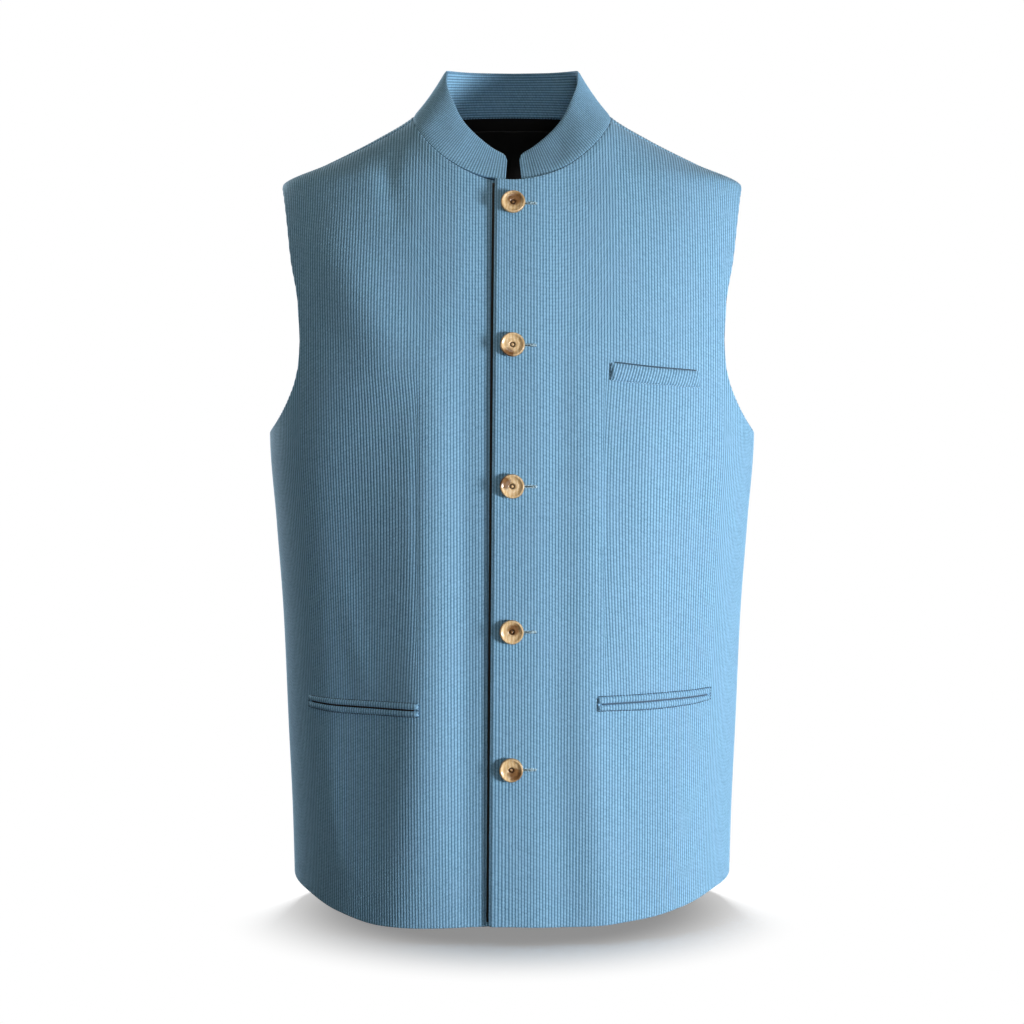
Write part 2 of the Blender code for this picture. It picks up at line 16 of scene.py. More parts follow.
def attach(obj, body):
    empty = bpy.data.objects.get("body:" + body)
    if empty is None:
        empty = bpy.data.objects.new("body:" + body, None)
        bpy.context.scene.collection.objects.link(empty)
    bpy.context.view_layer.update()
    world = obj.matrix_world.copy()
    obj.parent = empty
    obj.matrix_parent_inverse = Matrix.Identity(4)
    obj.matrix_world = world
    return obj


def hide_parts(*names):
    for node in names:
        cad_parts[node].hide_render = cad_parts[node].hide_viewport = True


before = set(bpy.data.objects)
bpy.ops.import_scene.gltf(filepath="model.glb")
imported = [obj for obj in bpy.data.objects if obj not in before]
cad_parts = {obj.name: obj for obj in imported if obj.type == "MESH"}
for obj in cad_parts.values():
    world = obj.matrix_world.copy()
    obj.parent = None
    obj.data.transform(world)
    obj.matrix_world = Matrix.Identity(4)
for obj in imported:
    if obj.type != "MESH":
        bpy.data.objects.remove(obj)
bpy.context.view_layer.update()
print("plain walls:", ", ".join(sorted(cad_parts)))

# %% [markdown]
# ## The camera
#
# A garment photographer stands well back with a long lens, so that the shoulders and the hem
# keep their proportions. The lens here is 67 mm at 1.65 m, a little above the jacket's middle
# and tilted down by five degrees.

# %% Place the camera
CAMERA_DISTANCE = 1.65
CAMERA_HEIGHT = -0.20
CAMERA_TILT = math.radians(4.80)
LENS_MM = 66.8
SENSOR_MM = 36.0

camera = bpy.data.objects.new("camera", bpy.data.cameras.new("camera"))
bpy.context.scene.collection.objects.link(camera)
camera.location = (0, -CAMERA_DISTANCE, CAMERA_HEIGHT)
camera.rotation_euler = (math.pi / 2 - CAMERA_TILT, 0, 0)
camera.data.lens = LENS_MM
camera.data.sensor_width = SENSOR_MM
bpy.context.scene.camera = camera
bpy.context.scene.view_settings.view_transform = "Standard"
print(f"camera {CAMERA_DISTANCE} m in front of the jacket")

# %% [markdown]
# ## The body form
#
# A pattern cutter works from a few body measurements: width, depth and fullness at the neck,
# shoulder, chest, waist and hip. One table of level sections holds them, and a smooth curve
# runs through each column. Every panel is then a piece of this one form, so the seams meet.
# The numbers are those of the plain walls, because the cloth has to lie where they are.

# %% Smooth curves through short tables
def smooth(at, xs, ys):
    """Monotone cubic through the points (xs, ys), xs rising."""
    at, xs, ys = (np.asarray(values, float) for values in (at, xs, ys))
    step = np.diff(xs)
    slope = np.diff(ys) / step
    tangent = np.zeros(len(xs))
    same = slope[:-1] * slope[1:] > 0
    tangent[1:-1][same] = 2 * slope[:-1][same] * slope[1:][same] / (slope[:-1] + slope[1:])[same]
    tangent[0], tangent[-1] = slope[0], slope[-1]
    index = np.clip(np.searchsorted(xs, at) - 1, 0, len(step) - 1)
    t = np.clip((at - xs[index]) / step[index], 0, 1)
    low, high = ys[index], ys[index + 1]
    return (
        low * (1 + 2 * t) * (1 - t) ** 2
        + high * t * t * (3 - 2 * t)
        + step[index] * t * (1 - t) * (tangent[index] * (1 - t) - tangent[index + 1] * t)
    )


class Table:
    """Rows of numbers under named columns. The first column is the one that is looked up."""

    def __init__(self, names, rows):
        values = np.array(sorted(rows), float)
        self.key = values[:, 0]
        self.columns = dict(zip(names.split(), values.T))

    def read(self, name, at):
        return smooth(at, self.key, self.columns[name])


def ease(t):
    """A soft step from 0 to 1."""
    t = np.clip(t, 0, 1)
    return t * t * (3 - 2 * t)


def bump_at(value, centre, half_width):
    """A soft hill that is 1 at the centre."""
    return np.exp(-(((value - centre) / half_width) ** 2))


def steps_along(path):
    """Distances between a path's neighbouring points."""
    return np.linalg.norm(np.diff(path, axis=-2), axis=-1)


def distances_along(path):
    """Distance of each of a path's points from its start."""
    return np.concatenate([[0], np.cumsum(steps_along(path))])


print("smooth tables ready")

# %% The sections, neck to hem
SECTIONS = Table(
    "height half_width front_depth back_depth roundness",
    (
        (0.016, 0.0700, 0.0400, 0.0500, 2.00),
        (0.000, 0.0855, 0.0500, 0.0600, 2.00),
        (-0.020, 0.1190, 0.0590, 0.0740, 2.00),
        (-0.040, 0.1590, 0.0680, 0.0860, 2.05),
        (-0.0575, 0.1965, 0.0750, 0.0940, 2.10),
        (-0.080, 0.2030, 0.0840, 0.1020, 2.20),
        (-0.120, 0.2070, 0.0960, 0.1110, 2.30),
        (-0.180, 0.2085, 0.1070, 0.1185, 2.35),
        (-0.270, 0.2090, 0.1160, 0.1180, 2.35),
        (-0.345, 0.2040, 0.1170, 0.1120, 2.35),
        (-0.430, 0.1985, 0.1160, 0.1070, 2.35),
        (-0.520, 0.1955, 0.1150, 0.1080, 2.30),
        (-0.600, 0.1925, 0.1140, 0.1120, 2.30),
        (-0.680, 0.1910, 0.1130, 0.1150, 2.30),
    ),
)
TOP = 0.016
UNDERARM = -0.270
SHOULDER_TIP = -0.0575
EASE_START = 0.35
SECTION_STEPS = 96
SLOPE_STEP = 0.0005


def section(z, half):
    """Half width, depth and roundness at height z, for the front or the back half."""
    return tuple(SECTIONS.read(name, z) for name in ("half_width", half + "_depth", "roundness"))


def section_path(z, half):
    """A quarter section at each height, from the centre line to the side, with its arc lengths."""
    width, depth, roundness = (np.asarray(value)[..., None] for value in section(z, half))
    turn = np.linspace(0, math.pi / 2, SECTION_STEPS)
    x = width * np.sin(turn) ** (2 / roundness)
    y = depth * np.cos(turn) ** (2 / roundness)
    length = np.hypot(np.diff(x), np.diff(y))
    arc = np.concatenate([np.zeros(x.shape[:-1] + (1,)), np.cumsum(length, axis=-1)], axis=-1)
    return x, y, arc


def along(arc, wanted, values):
    """Values at the wanted arc length, one row for each section."""
    index = np.clip((arc <= wanted[..., None]).sum(-1) - 1, 0, arc.shape[-1] - 2)[..., None]
    a, b = (np.take_along_axis(arc, index + k, -1)[..., 0] for k in (0, 1))
    low, high = (np.take_along_axis(values, index + k, -1)[..., 0] for k in (0, 1))
    return low + (high - low) * np.clip((wanted - a) / (b - a), 0, 1)


FULL = {half: float(section_path(UNDERARM, half)[2][-1]) for half in ("front", "back")}
ARC_STEPS = np.linspace(0, max(FULL.values()), 1200)
X_STEPS = {
    half: np.interp(ARC_STEPS, section_path(UNDERARM, half)[2], section_path(UNDERARM, half)[0])
    for half in ("front", "back")
}


def x_of_arc(arc, half):
    return np.interp(arc, ARC_STEPS, X_STEPS[half])


def arc_of_x(x, half):
    return np.interp(x, X_STEPS[half], ARC_STEPS)


print(f"quarter girth: front {FULL['front']:.3f} m, back {FULL['back']:.3f} m")

# %% Points on the form
def form_point(arc, z, half):
    """Point of the form. The arc is measured from the centre line at the underarm."""
    arc, z = np.broadcast_arrays(np.asarray(arc, float), np.asarray(z, float))
    side, reach = np.sign(arc), np.abs(arc)
    width, depth, roundness = section(z, half)
    x_high = x_of_arc(reach, half)
    inside = np.clip(1 - (x_high / width) ** roundness, 0, 1)
    y_high = depth * inside ** (1 / roundness)
    x, y = x_high, y_high
    low = z < UNDERARM
    if low.any():
        x_path, y_path, lengths = section_path(z[low], half)
        taper = ease((reach[low] / FULL[half] - EASE_START) / (1 - EASE_START))
        low_arc = reach[low] - (FULL[half] - lengths[..., -1]) * taper
        x, y = x_high.copy(), y_high.copy()
        x[low] = along(lengths, low_arc, x_path)
        y[low] = along(lengths, low_arc, y_path)
    return np.stack([side * x, y if half == "back" else -y, z], -1)


def outward(points):
    """Unit normals of the form at points on it."""
    x, y, z = points[..., 0], points[..., 1], points[..., 2]

    def share(height):
        front, back = section(height, "front"), section(height, "back")
        depth = np.where(y > 0, back[1], front[1])
        return np.abs(x) / front[0], np.abs(y) / depth, front[0], depth, front[2]

    across, deep, width, depth, power = share(z)
    across_up, deep_up, _, _, power_up = share(z + SLOPE_STEP)
    level = across**power + deep**power
    rise = (across_up**power_up + deep_up**power_up - level) / SLOPE_STEP
    over = np.sign(x) * power / width * across ** (power - 1)
    back = np.sign(y) * power / depth * deep ** (power - 1)
    normal = np.stack([over, back, rise], -1)
    return normal / np.linalg.norm(normal, axis=-1, keepdims=True)


print("chest point", np.round(form_point(0.1, -0.2, "front"), 3))

# %% [markdown]
# ## Cutting lines
#
# These are the edges that shears would follow: the neckline, the armholes, the hem and the
# shoulder seam, which lies just forward of the shoulder's crest as on most tailored jackets.

# %% Neck, armhole and hem
TIP_X = 0.1962
SEAM_TIP_DROP = 0.0001
SHOULDER_TRIM = 0.0009
ARMHOLE_WAIST = -0.190
NECK_HALF_WIDTH = 0.0855
NECK_CORNER = 0.0845
FRONT_NECK_DROP = 0.0590
FRONT_NECK_POWER = 1.48
BACK_NECK_RISE = 0.0072
ARMHOLE = Table(
    "height front_edge back_edge",
    (
        (-0.0575, 0.1965, 0.1965),
        (-0.070, 0.1930, 0.1945),
        (-0.090, 0.1895, 0.1925),
        (-0.124, 0.1845, 0.1895),
        (-0.157, 0.1782, 0.1870),
        (-0.190, 0.1763, 0.1860),
        (-0.206, 0.1770, 0.1865),
        (-0.223, 0.1805, 0.1885),
        (-0.241, 0.1880, 0.1935),
        (-0.258, 0.1985, 0.2010),
        (-0.270, 0.2090, 0.2090),
    ),
)
HEM = Table(
    "arc_share left_front right_front back",
    (
        (0.00, -0.6725, -0.6725, -0.6690),
        (0.18, -0.6735, -0.6744, -0.6690),
        (0.42, -0.6705, -0.6758, -0.6675),
        (0.60, -0.6635, -0.6690, -0.6640),
        (0.78, -0.6545, -0.6580, -0.6575),
        (1.00, -0.6515, -0.6515, -0.6515),
    ),
)
RIDGE_HEIGHTS = np.linspace(TOP, SHOULDER_TIP, 200)
RIDGE_WIDTHS = section(RIDGE_HEIGHTS, "front")[0]


def ridge(x):
    """Height of the shoulder's crest at x."""
    return np.interp(x, RIDGE_WIDTHS, RIDGE_HEIGHTS)


def front_neck(x):
    cosine = np.clip(x / NECK_HALF_WIDTH, 0, 1)
    return -FRONT_NECK_DROP * np.sqrt(1 - cosine**2) ** FRONT_NECK_POWER


def back_neck(x):
    return BACK_NECK_RISE * (1 - np.clip(x / NECK_CORNER, 0, 1) ** 2)


def seam_drop(x):
    """How far the shoulder seam lies below the crest, on the front side."""
    full = ridge(NECK_CORNER) - front_neck(NECK_CORNER)
    return SEAM_TIP_DROP + (full - SEAM_TIP_DROP) * np.clip((TIP_X - x) / (TIP_X - NECK_CORNER), 0, 1)


def armhole_height(x, half, end):
    """Height of the armhole at x, between its narrowest level and the end level."""
    heights = np.linspace(ARMHOLE_WAIST, end, 400)
    return np.interp(x, ARMHOLE.read(half + "_edge", heights), heights)


def hem_height(panel, arc, half):
    return HEM.read(panel, np.abs(arc) / FULL[half])


print(f"front neck falls {1000 * FRONT_NECK_DROP:.0f} mm")

# %% [markdown]
# ## Folds and darts
#
# Worn cloth is never quite flat. Each row of this table is one soft trough or ridge, drawn
# between two points of a panel: where it starts and ends, how wide it is and how high.
# They differ in length and depth, as real creases do. The left and right fronts also have a
# dart, a stitched tuck from the chest to the pocket, where the cords crowd together.

# %% The folds
FOLD_NAMES = "panel arc_top z_top arc_low z_low half_width height".split()
FOLDS = (
    # broad shaping
    ("right_front", 0.132, -0.225, 0.140, -0.630, 0.036, -0.0048),
    ("right_front", 0.068, -0.180, 0.070, -0.740, 0.024, 0.0046),
    ("right_front", 0.076, -0.440, 0.104, -0.780, 0.024, 0.0034),
    ("right_front", 0.170, -0.085, 0.078, -0.235, 0.028, 0.0046),
    ("left_front", 0.138, -0.240, 0.142, -0.600, 0.034, -0.0032),
    ("left_front", 0.056, -0.170, 0.064, -0.580, 0.018, 0.0018),
    ("left_front", 0.054, -0.430, 0.084, -0.760, 0.021, 0.0034),
    ("back", 0.118, -0.240, 0.122, -0.700, 0.032, -0.0050),
    ("back", -0.124, -0.240, -0.116, -0.690, 0.033, -0.0046),
    ("back", 0.030, -0.400, 0.062, -0.730, 0.025, 0.0038),
    ("right_front", 0.037, -0.140, 0.036, -0.740, 0.015, -0.0034),
    # shallow creases
    ("right_front", 0.118, -0.020, 0.090, -0.100, 0.010, -0.0016),
    ("right_front", 0.096, -0.012, 0.104, -0.070, 0.007, -0.0011),
    ("right_front", 0.150, -0.370, 0.122, -0.500, 0.012, 0.0009),
    ("right_front", 0.060, -0.150, 0.070, -0.330, 0.018, 0.0010),
    ("right_front", 0.170, -0.520, 0.160, -0.640, 0.012, 0.0010),
    ("left_front", 0.080, -0.030, 0.138, -0.090, 0.012, -0.0016),
    ("left_front", 0.036, -0.190, 0.040, -0.320, 0.012, -0.0008),
    ("left_front", 0.110, -0.235, 0.120, -0.400, 0.018, 0.0010),
    ("left_front", 0.168, -0.230, 0.160, -0.420, 0.008, -0.0008),
    ("left_front", 0.150, -0.520, 0.136, -0.650, 0.016, 0.0012),
    ("back", -0.060, -0.050, -0.104, -0.210, 0.018, -0.0022),
    ("back", 0.070, -0.060, 0.112, -0.230, 0.017, -0.0024),
    ("back", -0.020, -0.300, -0.064, -0.600, 0.020, -0.0032),
    ("back", 0.150, -0.330, 0.128, -0.520, 0.014, 0.0010),
    ("back", -0.150, -0.420, -0.130, -0.620, 0.016, 0.0012),
    ("back", 0.000, -0.080, 0.004, -0.260, 0.030, -0.0010),
)
FOLD_END_POWER = 0.8
LAP_FADE_START = 0.016
LAP_FADE_END = 0.048


def past_lap(arc):
    """0 on the lap and 1 well past it."""
    return ease((arc - LAP_FADE_START) / (LAP_FADE_END - LAP_FADE_START))


def fold_relief(panel, arc, z):
    """Height of the panel's folds. They fade out towards the lap, which hangs straight."""
    height = np.zeros(np.shape(arc))
    for row in FOLDS:
        fold = dict(zip(FOLD_NAMES, row))
        if fold["panel"] != panel:
            continue
        run = np.array([fold["arc_low"] - fold["arc_top"], fold["z_low"] - fold["z_top"]])
        length = math.hypot(*run)
        from_arc, from_z = arc - fold["arc_top"], z - fold["z_top"]
        down = (from_arc * run[0] + from_z * run[1]) / length**2
        across = (from_arc * run[1] - from_z * run[0]) / length
        ends = np.sin(math.pi * np.clip(down, 0, 1)) ** FOLD_END_POWER
        height = height + fold["height"] * ends * bump_at(across, 0, fold["half_width"])
    return height if panel == "back" else height * past_lap(arc)


print(len(FOLDS), "folds")

# %% The darts and the lean of the cords
CORD = 0.0025
DART_NAMES = "panel arc top low intake spread".split()
DARTS = (
    ("left_front", 0.0765, -0.205, -0.483, 0.0085, 0.075),
    ("right_front", 0.0780, -0.215, -0.487, 0.0075, 0.070),
)
DART_WIDTH = 0.007
DART_DEPTH = 0.0005
DART_HALF_WIDTH = 0.0035
DART_PULL = 0.62


def dart_shape(dart, z):
    """0 at the dart's ends and 1 at its widest."""
    share = np.clip((dart["top"] - z) / (dart["top"] - dart["low"]), 0, 1)
    return np.sin(math.pi * share**0.8) ** 1.2


def placed_arc(panel, cloth_arc, z):
    """Where a cord of the flat cloth ends up. Beyond a dart it is drawn in towards it."""
    arc = np.broadcast_to(cloth_arc, np.broadcast(cloth_arc, z).shape).astype(float)
    for row in DARTS:
        dart = dict(zip(DART_NAMES, row))
        if dart["panel"] != panel:
            continue
        past = cloth_arc - dart["arc"]
        drawn = ease(past / DART_WIDTH + 0.5) * (1 - ease((past - DART_WIDTH) / dart["spread"]))
        arc = arc - DART_PULL * dart["intake"] * dart_shape(dart, z) * drawn
    return arc


def dart_relief(panel, arc, z):
    """Depth of the panel's dart, as a height below 0."""
    height = np.zeros(np.shape(arc))
    for row in DARTS:
        dart = dict(zip(DART_NAMES, row))
        if dart["panel"] == panel:
            across = bump_at(arc, dart["arc"], DART_HALF_WIDTH)
            height = height - DART_DEPTH * dart_shape(dart, z) * across
    return height


print("darts take in", " and ".join(f"{1000 * row[4]} mm" for row in DARTS))

# %% Points on a panel
LAP = 0.016
LAP_TOP_SCALE = 0.84
LAP_HEM_SCALE = 1.17
UNDERLAP = 0.013
LAP_RISE = 0.0022
UNDERLAP_FALL = 0.0024
HEM_MIDDLE = -0.6725


def lap_scale(z):
    """Width of the lap at height z, as a share of its middle width."""
    down = (z + FRONT_NECK_DROP) / (HEM_MIDDLE + FRONT_NECK_DROP)
    return LAP_TOP_SCALE + (LAP_HEM_SCALE - LAP_TOP_SCALE) * np.clip(down, 0, 1)


def panel_point(panel, arc, z, lift=0.0, wrap=False):
    """Point on a panel's outer face, moved out by lift. wrap takes the back over the shoulder."""
    arc, z = np.broadcast_arrays(np.asarray(arc, float), np.asarray(z, float))
    relief = fold_relief(panel, arc, z) + dart_relief(panel, arc, z) + lift
    if panel == "back":
        base = form_point(arc, z, "back")
        if wrap:
            width, depth, power = section(z, "front")
            share = np.clip(1 - (np.abs(base[..., 0]) / width) ** power, 0, 1)
            base[..., 1] = -depth * share ** (1 / power)
        return base + outward(base) * relief[..., None]
    side, layer = (1, LAP_RISE) if panel == "left_front" else (-1, -UNDERLAP_FALL)
    placed = np.where(arc < 0, arc * lap_scale(z), arc)
    base = form_point(side * placed, z, "front")
    relief = relief + layer * (1 - past_lap(arc))
    return base + outward(base) * relief[..., None]


print("front edge at the chest", np.round(panel_point("left_front", -LAP, -0.2), 4))

# %% [markdown]
# ## Cloth with thickness
#
# A cut piece of cloth has a face, a lining side and edges that are turned in and pressed, so
# they are round. Solidify would give square edges and would print the cords through to the
# lining. So one helper takes the face's points and the inner side's points, joins them, and
# rounds every free edge between them.

# %% A walled sheet from grids of points
EDGE_STEPS = 4
WELD = 2e-6


def grid_faces(rows, columns, start, flip):
    """Quads over a grid of points, turned over where the grid runs the other way."""
    index = start + np.arange(rows * columns).reshape(rows, columns)
    corners = (index[:-1, :-1], index[:-1, 1:], index[1:, 1:], index[1:, :-1])
    quads = np.stack(corners, -1).reshape(-1, 4)
    return quads[:, ::-1] if flip else quads


def weld(points, faces):
    """The first of each set of points that lie together, and the faces joined up there."""
    keys = np.round(points / WELD).astype(np.int64)
    _, first, index = np.unique(keys, axis=0, return_index=True, return_inverse=True)
    return first, index.reshape(-1)[faces]


def free_edges(faces):
    """The edges that only one face has, in that face's direction."""
    ends = np.concatenate([faces[:, [k, (k + 1) % 4]] for k in range(4)])
    ends = ends[ends[:, 0] != ends[:, 1]]
    low, high = ends.min(axis=1), ends.max(axis=1)
    names = low * (high.max() + 1) + high
    _, index, count = np.unique(names, return_inverse=True, return_counts=True)
    return ends[count[index.reshape(-1)] == 1]


def new_mesh_object(name, points, faces, uv, materials, slots=None):
    """An object from quads. A quad that names its last point twice is a triangle."""
    mesh = bpy.data.meshes.new(name)
    corners = [face[:3] if face[3] == face[2] else face for face in faces.tolist()]
    mesh.from_pydata(points.tolist(), [], corners)
    layer = mesh.uv_layers.new(name="cloth")
    loops = np.empty(len(mesh.loops), np.int32)
    mesh.loops.foreach_get("vertex_index", loops)
    layer.data.foreach_set("uv", uv[loops].astype(np.float32).ravel())
    for material in materials:
        mesh.materials.append(material)
    if slots is not None:
        mesh.polygons.foreach_set("material_index", slots.astype(np.int32))
    mesh.shade_smooth()
    mesh.update()
    obj = bpy.data.objects.new(name, mesh)
    bpy.context.scene.collection.objects.link(obj)
    return obj


def sheet_object(name, parts, materials, edge_bulge=0.5):
    """A closed sheet. parts is a list of (outer points, inner points, uv, flip), each a grid.

    Faces of the outer side and the edges take the first material, and the inner side the second.
    """
    outer, inner, uvs, faces = [], [], [], []
    start = 0
    for outer_grid, inner_grid, uv, flip in parts:
        rows, columns = outer_grid.shape[:2]
        outer.append(outer_grid.reshape(-1, 3))
        inner.append(inner_grid.reshape(-1, 3))
        uvs.append(uv.reshape(-1, 2))
        faces.append(grid_faces(rows, columns, start, flip))
        start += rows * columns
    outer, inner, uvs = (np.concatenate(values) for values in (outer, inner, uvs))
    first, faces = weld(outer, np.concatenate(faces))
    outer, inner, uvs = outer[first], inner[first], uvs[first]
    distinct = np.array([len(set(face)) for face in faces.tolist()])
    faces = faces[distinct == 4]
    count = len(outer)
    ends = free_edges(faces)
    rim = np.unique(ends)
    place = np.full(count, -1)
    place[rim] = np.arange(len(rim))

    across = outer - inner
    away = np.zeros((count, 3))
    run = outer[ends[:, 1]] - outer[ends[:, 0]]
    for end in (0, 1):
        np.add.at(away, ends[:, end], np.cross(run, across[ends[:, end]]))
    away = away[rim] / np.maximum(np.linalg.norm(away[rim], axis=1, keepdims=True), 1e-12)
    thick = np.linalg.norm(across[rim], axis=1, keepdims=True)
    middle = (outer[rim] + inner[rim]) / 2
    rings = [rim]
    points = [outer, inner]
    for k in range(1, EDGE_STEPS):
        turn = math.pi * k / EDGE_STEPS
        ring = middle + across[rim] / 2 * math.cos(turn) + away * thick * edge_bulge * math.sin(turn)
        rings.append(2 * count + (k - 1) * len(rim) + np.arange(len(rim)))
        points.append(ring)
    rings.append(rim + count)
    strips = []
    for upper, lower in zip(rings, rings[1:]):
        a, b = place[ends[:, 0]], place[ends[:, 1]]
        strips.append(np.stack([upper[b], upper[a], lower[a], lower[b]], -1))
    every_face = np.concatenate([faces, faces[:, ::-1] + count, *strips])
    slots = np.zeros(len(every_face))
    slots[len(faces):2 * len(faces)] = len(materials) - 1
    all_uv = np.concatenate([uvs, uvs] + [uvs[rim]] * (EDGE_STEPS - 1))
    obj = new_mesh_object(name, np.concatenate(points), every_face, all_uv, materials, slots)
    print(f"{name}: {2 * len(every_face)} triangles")
    return obj


# %% [markdown]
# ## Cord relief
#
# The cloth has fine upright cords, 2.5 mm apart, with round tops and narrow valleys. Four
# columns of points to a cord are enough: one in the valley, one on the crest and one on each
# shoulder. The relief fades at seams, where pressing has flattened it.

# %% The cord's round profile
COLUMNS_PER_CORD = 4
CORD_HEIGHT = 0.00034
SEAM_DIP = 0.0006
SEAM_DIP_WIDTH = 0.0022


def cord_profile(cords):
    """Height of the cords, -1 in a valley and 1 on a crest, with round crests and narrow valleys."""
    wave = 0.5 - 0.5 * np.cos(2 * math.pi * cords)
    return 2 * wave**0.6 - 1


def cord_relief(cords, strength=1.0):
    """Height of the cloth under its crests, in metres, 0 or less."""
    return CORD_HEIGHT * strength * (cord_profile(cords) - 1) / 2


print(f"cords stand {1000 * CORD_HEIGHT} mm above their valleys")

# %% [markdown]
# ## The cloth's finish, with painted highlight and shade
#
# Each cord is a padded rib: its crest is painted paler, a painted highlight, and its valley
# darker, painted shade. Along a cord the weft makes small nubs, and no two cords are dyed quite
# alike. The effect is a node group, so that it can serve cloth of any colour: it takes the
# sheet's own map, counted in cords across and along, and gives a colour, a height and a
# roughness. A UV map was chosen over object coordinates because it bends with the cords.

# %% Node helpers
NODE_SPACING = 220


def plug(tree, socket, value):
    """Fill a socket with another node's output, or with a constant."""
    if isinstance(value, bpy.types.NodeSocket):
        tree.links.new(value, socket)
    else:
        socket.default_value = (*value, 1.0) if socket.type == "RGBA" else value


def fill(tree, node, **values):
    """Set a node's settings and sockets by name, with _ for a space."""
    for name, value in values.items():
        if name in node.bl_rna.properties:
            setattr(node, name, value)
        else:
            plug(tree, node.inputs[name.replace("_", " ")], value)


def add_node(tree, kind, *inputs, **values):
    """A node to the right of the last one, with its named sockets and its first ones filled."""
    node = tree.nodes.new(kind)
    node.location = (NODE_SPACING * len(tree.nodes), 0)
    fill(tree, node, **values)
    for socket, value in zip(node.inputs, inputs):
        plug(tree, socket, value)
    return node


def maths(tree, operation, *values):
    return add_node(tree, "ShaderNodeMath", *values, operation=operation).outputs[0]


def vector_maths(tree, operation, *values):
    node = add_node(tree, "ShaderNodeVectorMath", *values, operation=operation)
    return node.outputs["Value" if operation in ("LENGTH", "DISTANCE") else "Vector"]


def noise(tree, place, scale, detail, roughness=0.5):
    """The outputs of a noise texture."""
    kind = "ShaderNodeTexNoise"
    return add_node(tree, kind, Vector=place, Scale=scale, Detail=detail, Roughness=roughness).outputs


def mix_colour(tree, factor, low, high):
    node = add_node(tree, "ShaderNodeMix", factor, data_type="RGBA")
    for index, value in ((6, low), (7, high)):
        plug(tree, node.inputs[index], value)
    return node.outputs[2]


def cloth_map(tree):
    """The sheet's own map, counted in cords across and along."""
    return add_node(tree, "ShaderNodeUVMap", uv_map="cloth").outputs["UV"]


def new_group(name, inputs, outputs):
    """A shader node group: its tree, the sockets it is given and its output node."""
    tree = bpy.data.node_groups.new(name, "ShaderNodeTree")
    sockets = tree.interface
    for title, kind, value in inputs:
        socket = sockets.new_socket(name=title, in_out="INPUT", socket_type="NodeSocket" + kind)
        if value is not None:
            socket.default_value = value
    for title, kind in outputs:
        sockets.new_socket(name=title, in_out="OUTPUT", socket_type="NodeSocket" + kind)
    return tree, add_node(tree, "NodeGroupInput").outputs, add_node(tree, "NodeGroupOutput")


def new_material(name, **values):
    """A material with a Principled shader. Its constant values are set on the sockets."""
    material = bpy.data.materials.new(name)
    material.use_nodes = True
    shader = material.node_tree.nodes["Principled BSDF"]
    fill(material.node_tree, shader, **values)
    return material, material.node_tree, shader


print("node helpers ready")

# %% The corded weave, as a node group
NUB_RATE = 0.87
NUB_PHASE = 0.382
NUB_PULSE = 0.11
ROW_OF_NOISE = 7.31


def cord_weave_group():
    """Colour, height and roughness of padded cords, from a map counted in cords, with paler painted crests
    (painted highlight) and darker valleys (painted shade).
    """
    tree, given, out = new_group(
        "corded_weave",
        [
            ("Cords", "Vector", None),
            ("Crest", "Color", (0.4, 0.6, 0.8, 1)),
            ("Valley", "Color", (0.1, 0.2, 0.3, 1)),
            ("Tint", "Color", (0.5, 0.5, 0.6, 1)),
            ("Nubs", "Float", 0.3),
        ],
        [("Color", "Color"), ("Height", "Float"), ("Roughness", "Float")],
    )
    cords = given["Cords"]
    across, down, _ = add_node(tree, "ShaderNodeSeparateXYZ", cords).outputs
    number = maths(tree, "FLOOR", across)
    turn = maths(tree, "MULTIPLY", maths(tree, "FRACT", across), 2 * math.pi)
    crest = maths(tree, "MULTIPLY_ADD", maths(tree, "COSINE", turn), -0.5, 0.5)

    # nubs along each cord, out of step with the next cord's
    phase = maths(tree, "MULTIPLY", number, NUB_PHASE)
    nubs = maths(tree, "ADD", maths(tree, "MULTIPLY", down, NUB_RATE), phase)
    pulse = maths(tree, "SINE", maths(tree, "MULTIPLY", nubs, 2 * math.pi))
    own_row = maths(tree, "MULTIPLY", number, ROW_OF_NOISE)
    place = add_node(tree, "ShaderNodeCombineXYZ", own_row, maths(tree, "MULTIPLY", down, 0.9))
    uneven = noise(tree, place.outputs[0], 1.0, 3.0, 0.65)["Fac"]
    fine = noise(tree, cords, 5.5, 2.0, 0.6)["Fac"]
    wide = noise(tree, cords, 0.06, 3.0, 0.55)["Fac"]
    nub = maths(tree, "SUBTRACT", maths(tree, "MULTIPLY_ADD", pulse, NUB_PULSE, uneven), 0.5)
    speck = maths(tree, "SUBTRACT", fine, 0.5)

    # crests are painted pale and valleys dark, as painted highlight and shade; nubs and specks shift the
    # tone, paler where they rise
    lifted = maths(tree, "MULTIPLY", nub, given["Nubs"])
    shade = maths(tree, "ADD", maths(tree, "POWER", crest, 0.85), lifted)
    shade = maths(tree, "MULTIPLY_ADD", speck, 0.45, shade)
    shade = maths(tree, "MINIMUM", maths(tree, "MAXIMUM", shade, 0.0), 1.0)
    tint = maths(tree, "MULTIPLY", maths(tree, "SUBTRACT", wide, 0.35), 0.55)
    tint = maths(tree, "MAXIMUM", tint, 0.0)
    colour = mix_colour(tree, shade, given["Valley"], given["Crest"])
    colour = mix_colour(tree, tint, colour, given["Tint"])
    height = maths(tree, "MULTIPLY_ADD", nub, 0.6, maths(tree, "MULTIPLY", speck, 0.7))
    roughness = maths(tree, "MULTIPLY_ADD", shade, 0.10, 0.72)
    fill(tree, out, Color=colour, Height=height, Roughness=roughness)
    return tree


CORD_WEAVE = cord_weave_group()
print("group", CORD_WEAVE.name, "with", len(CORD_WEAVE.nodes), "nodes")
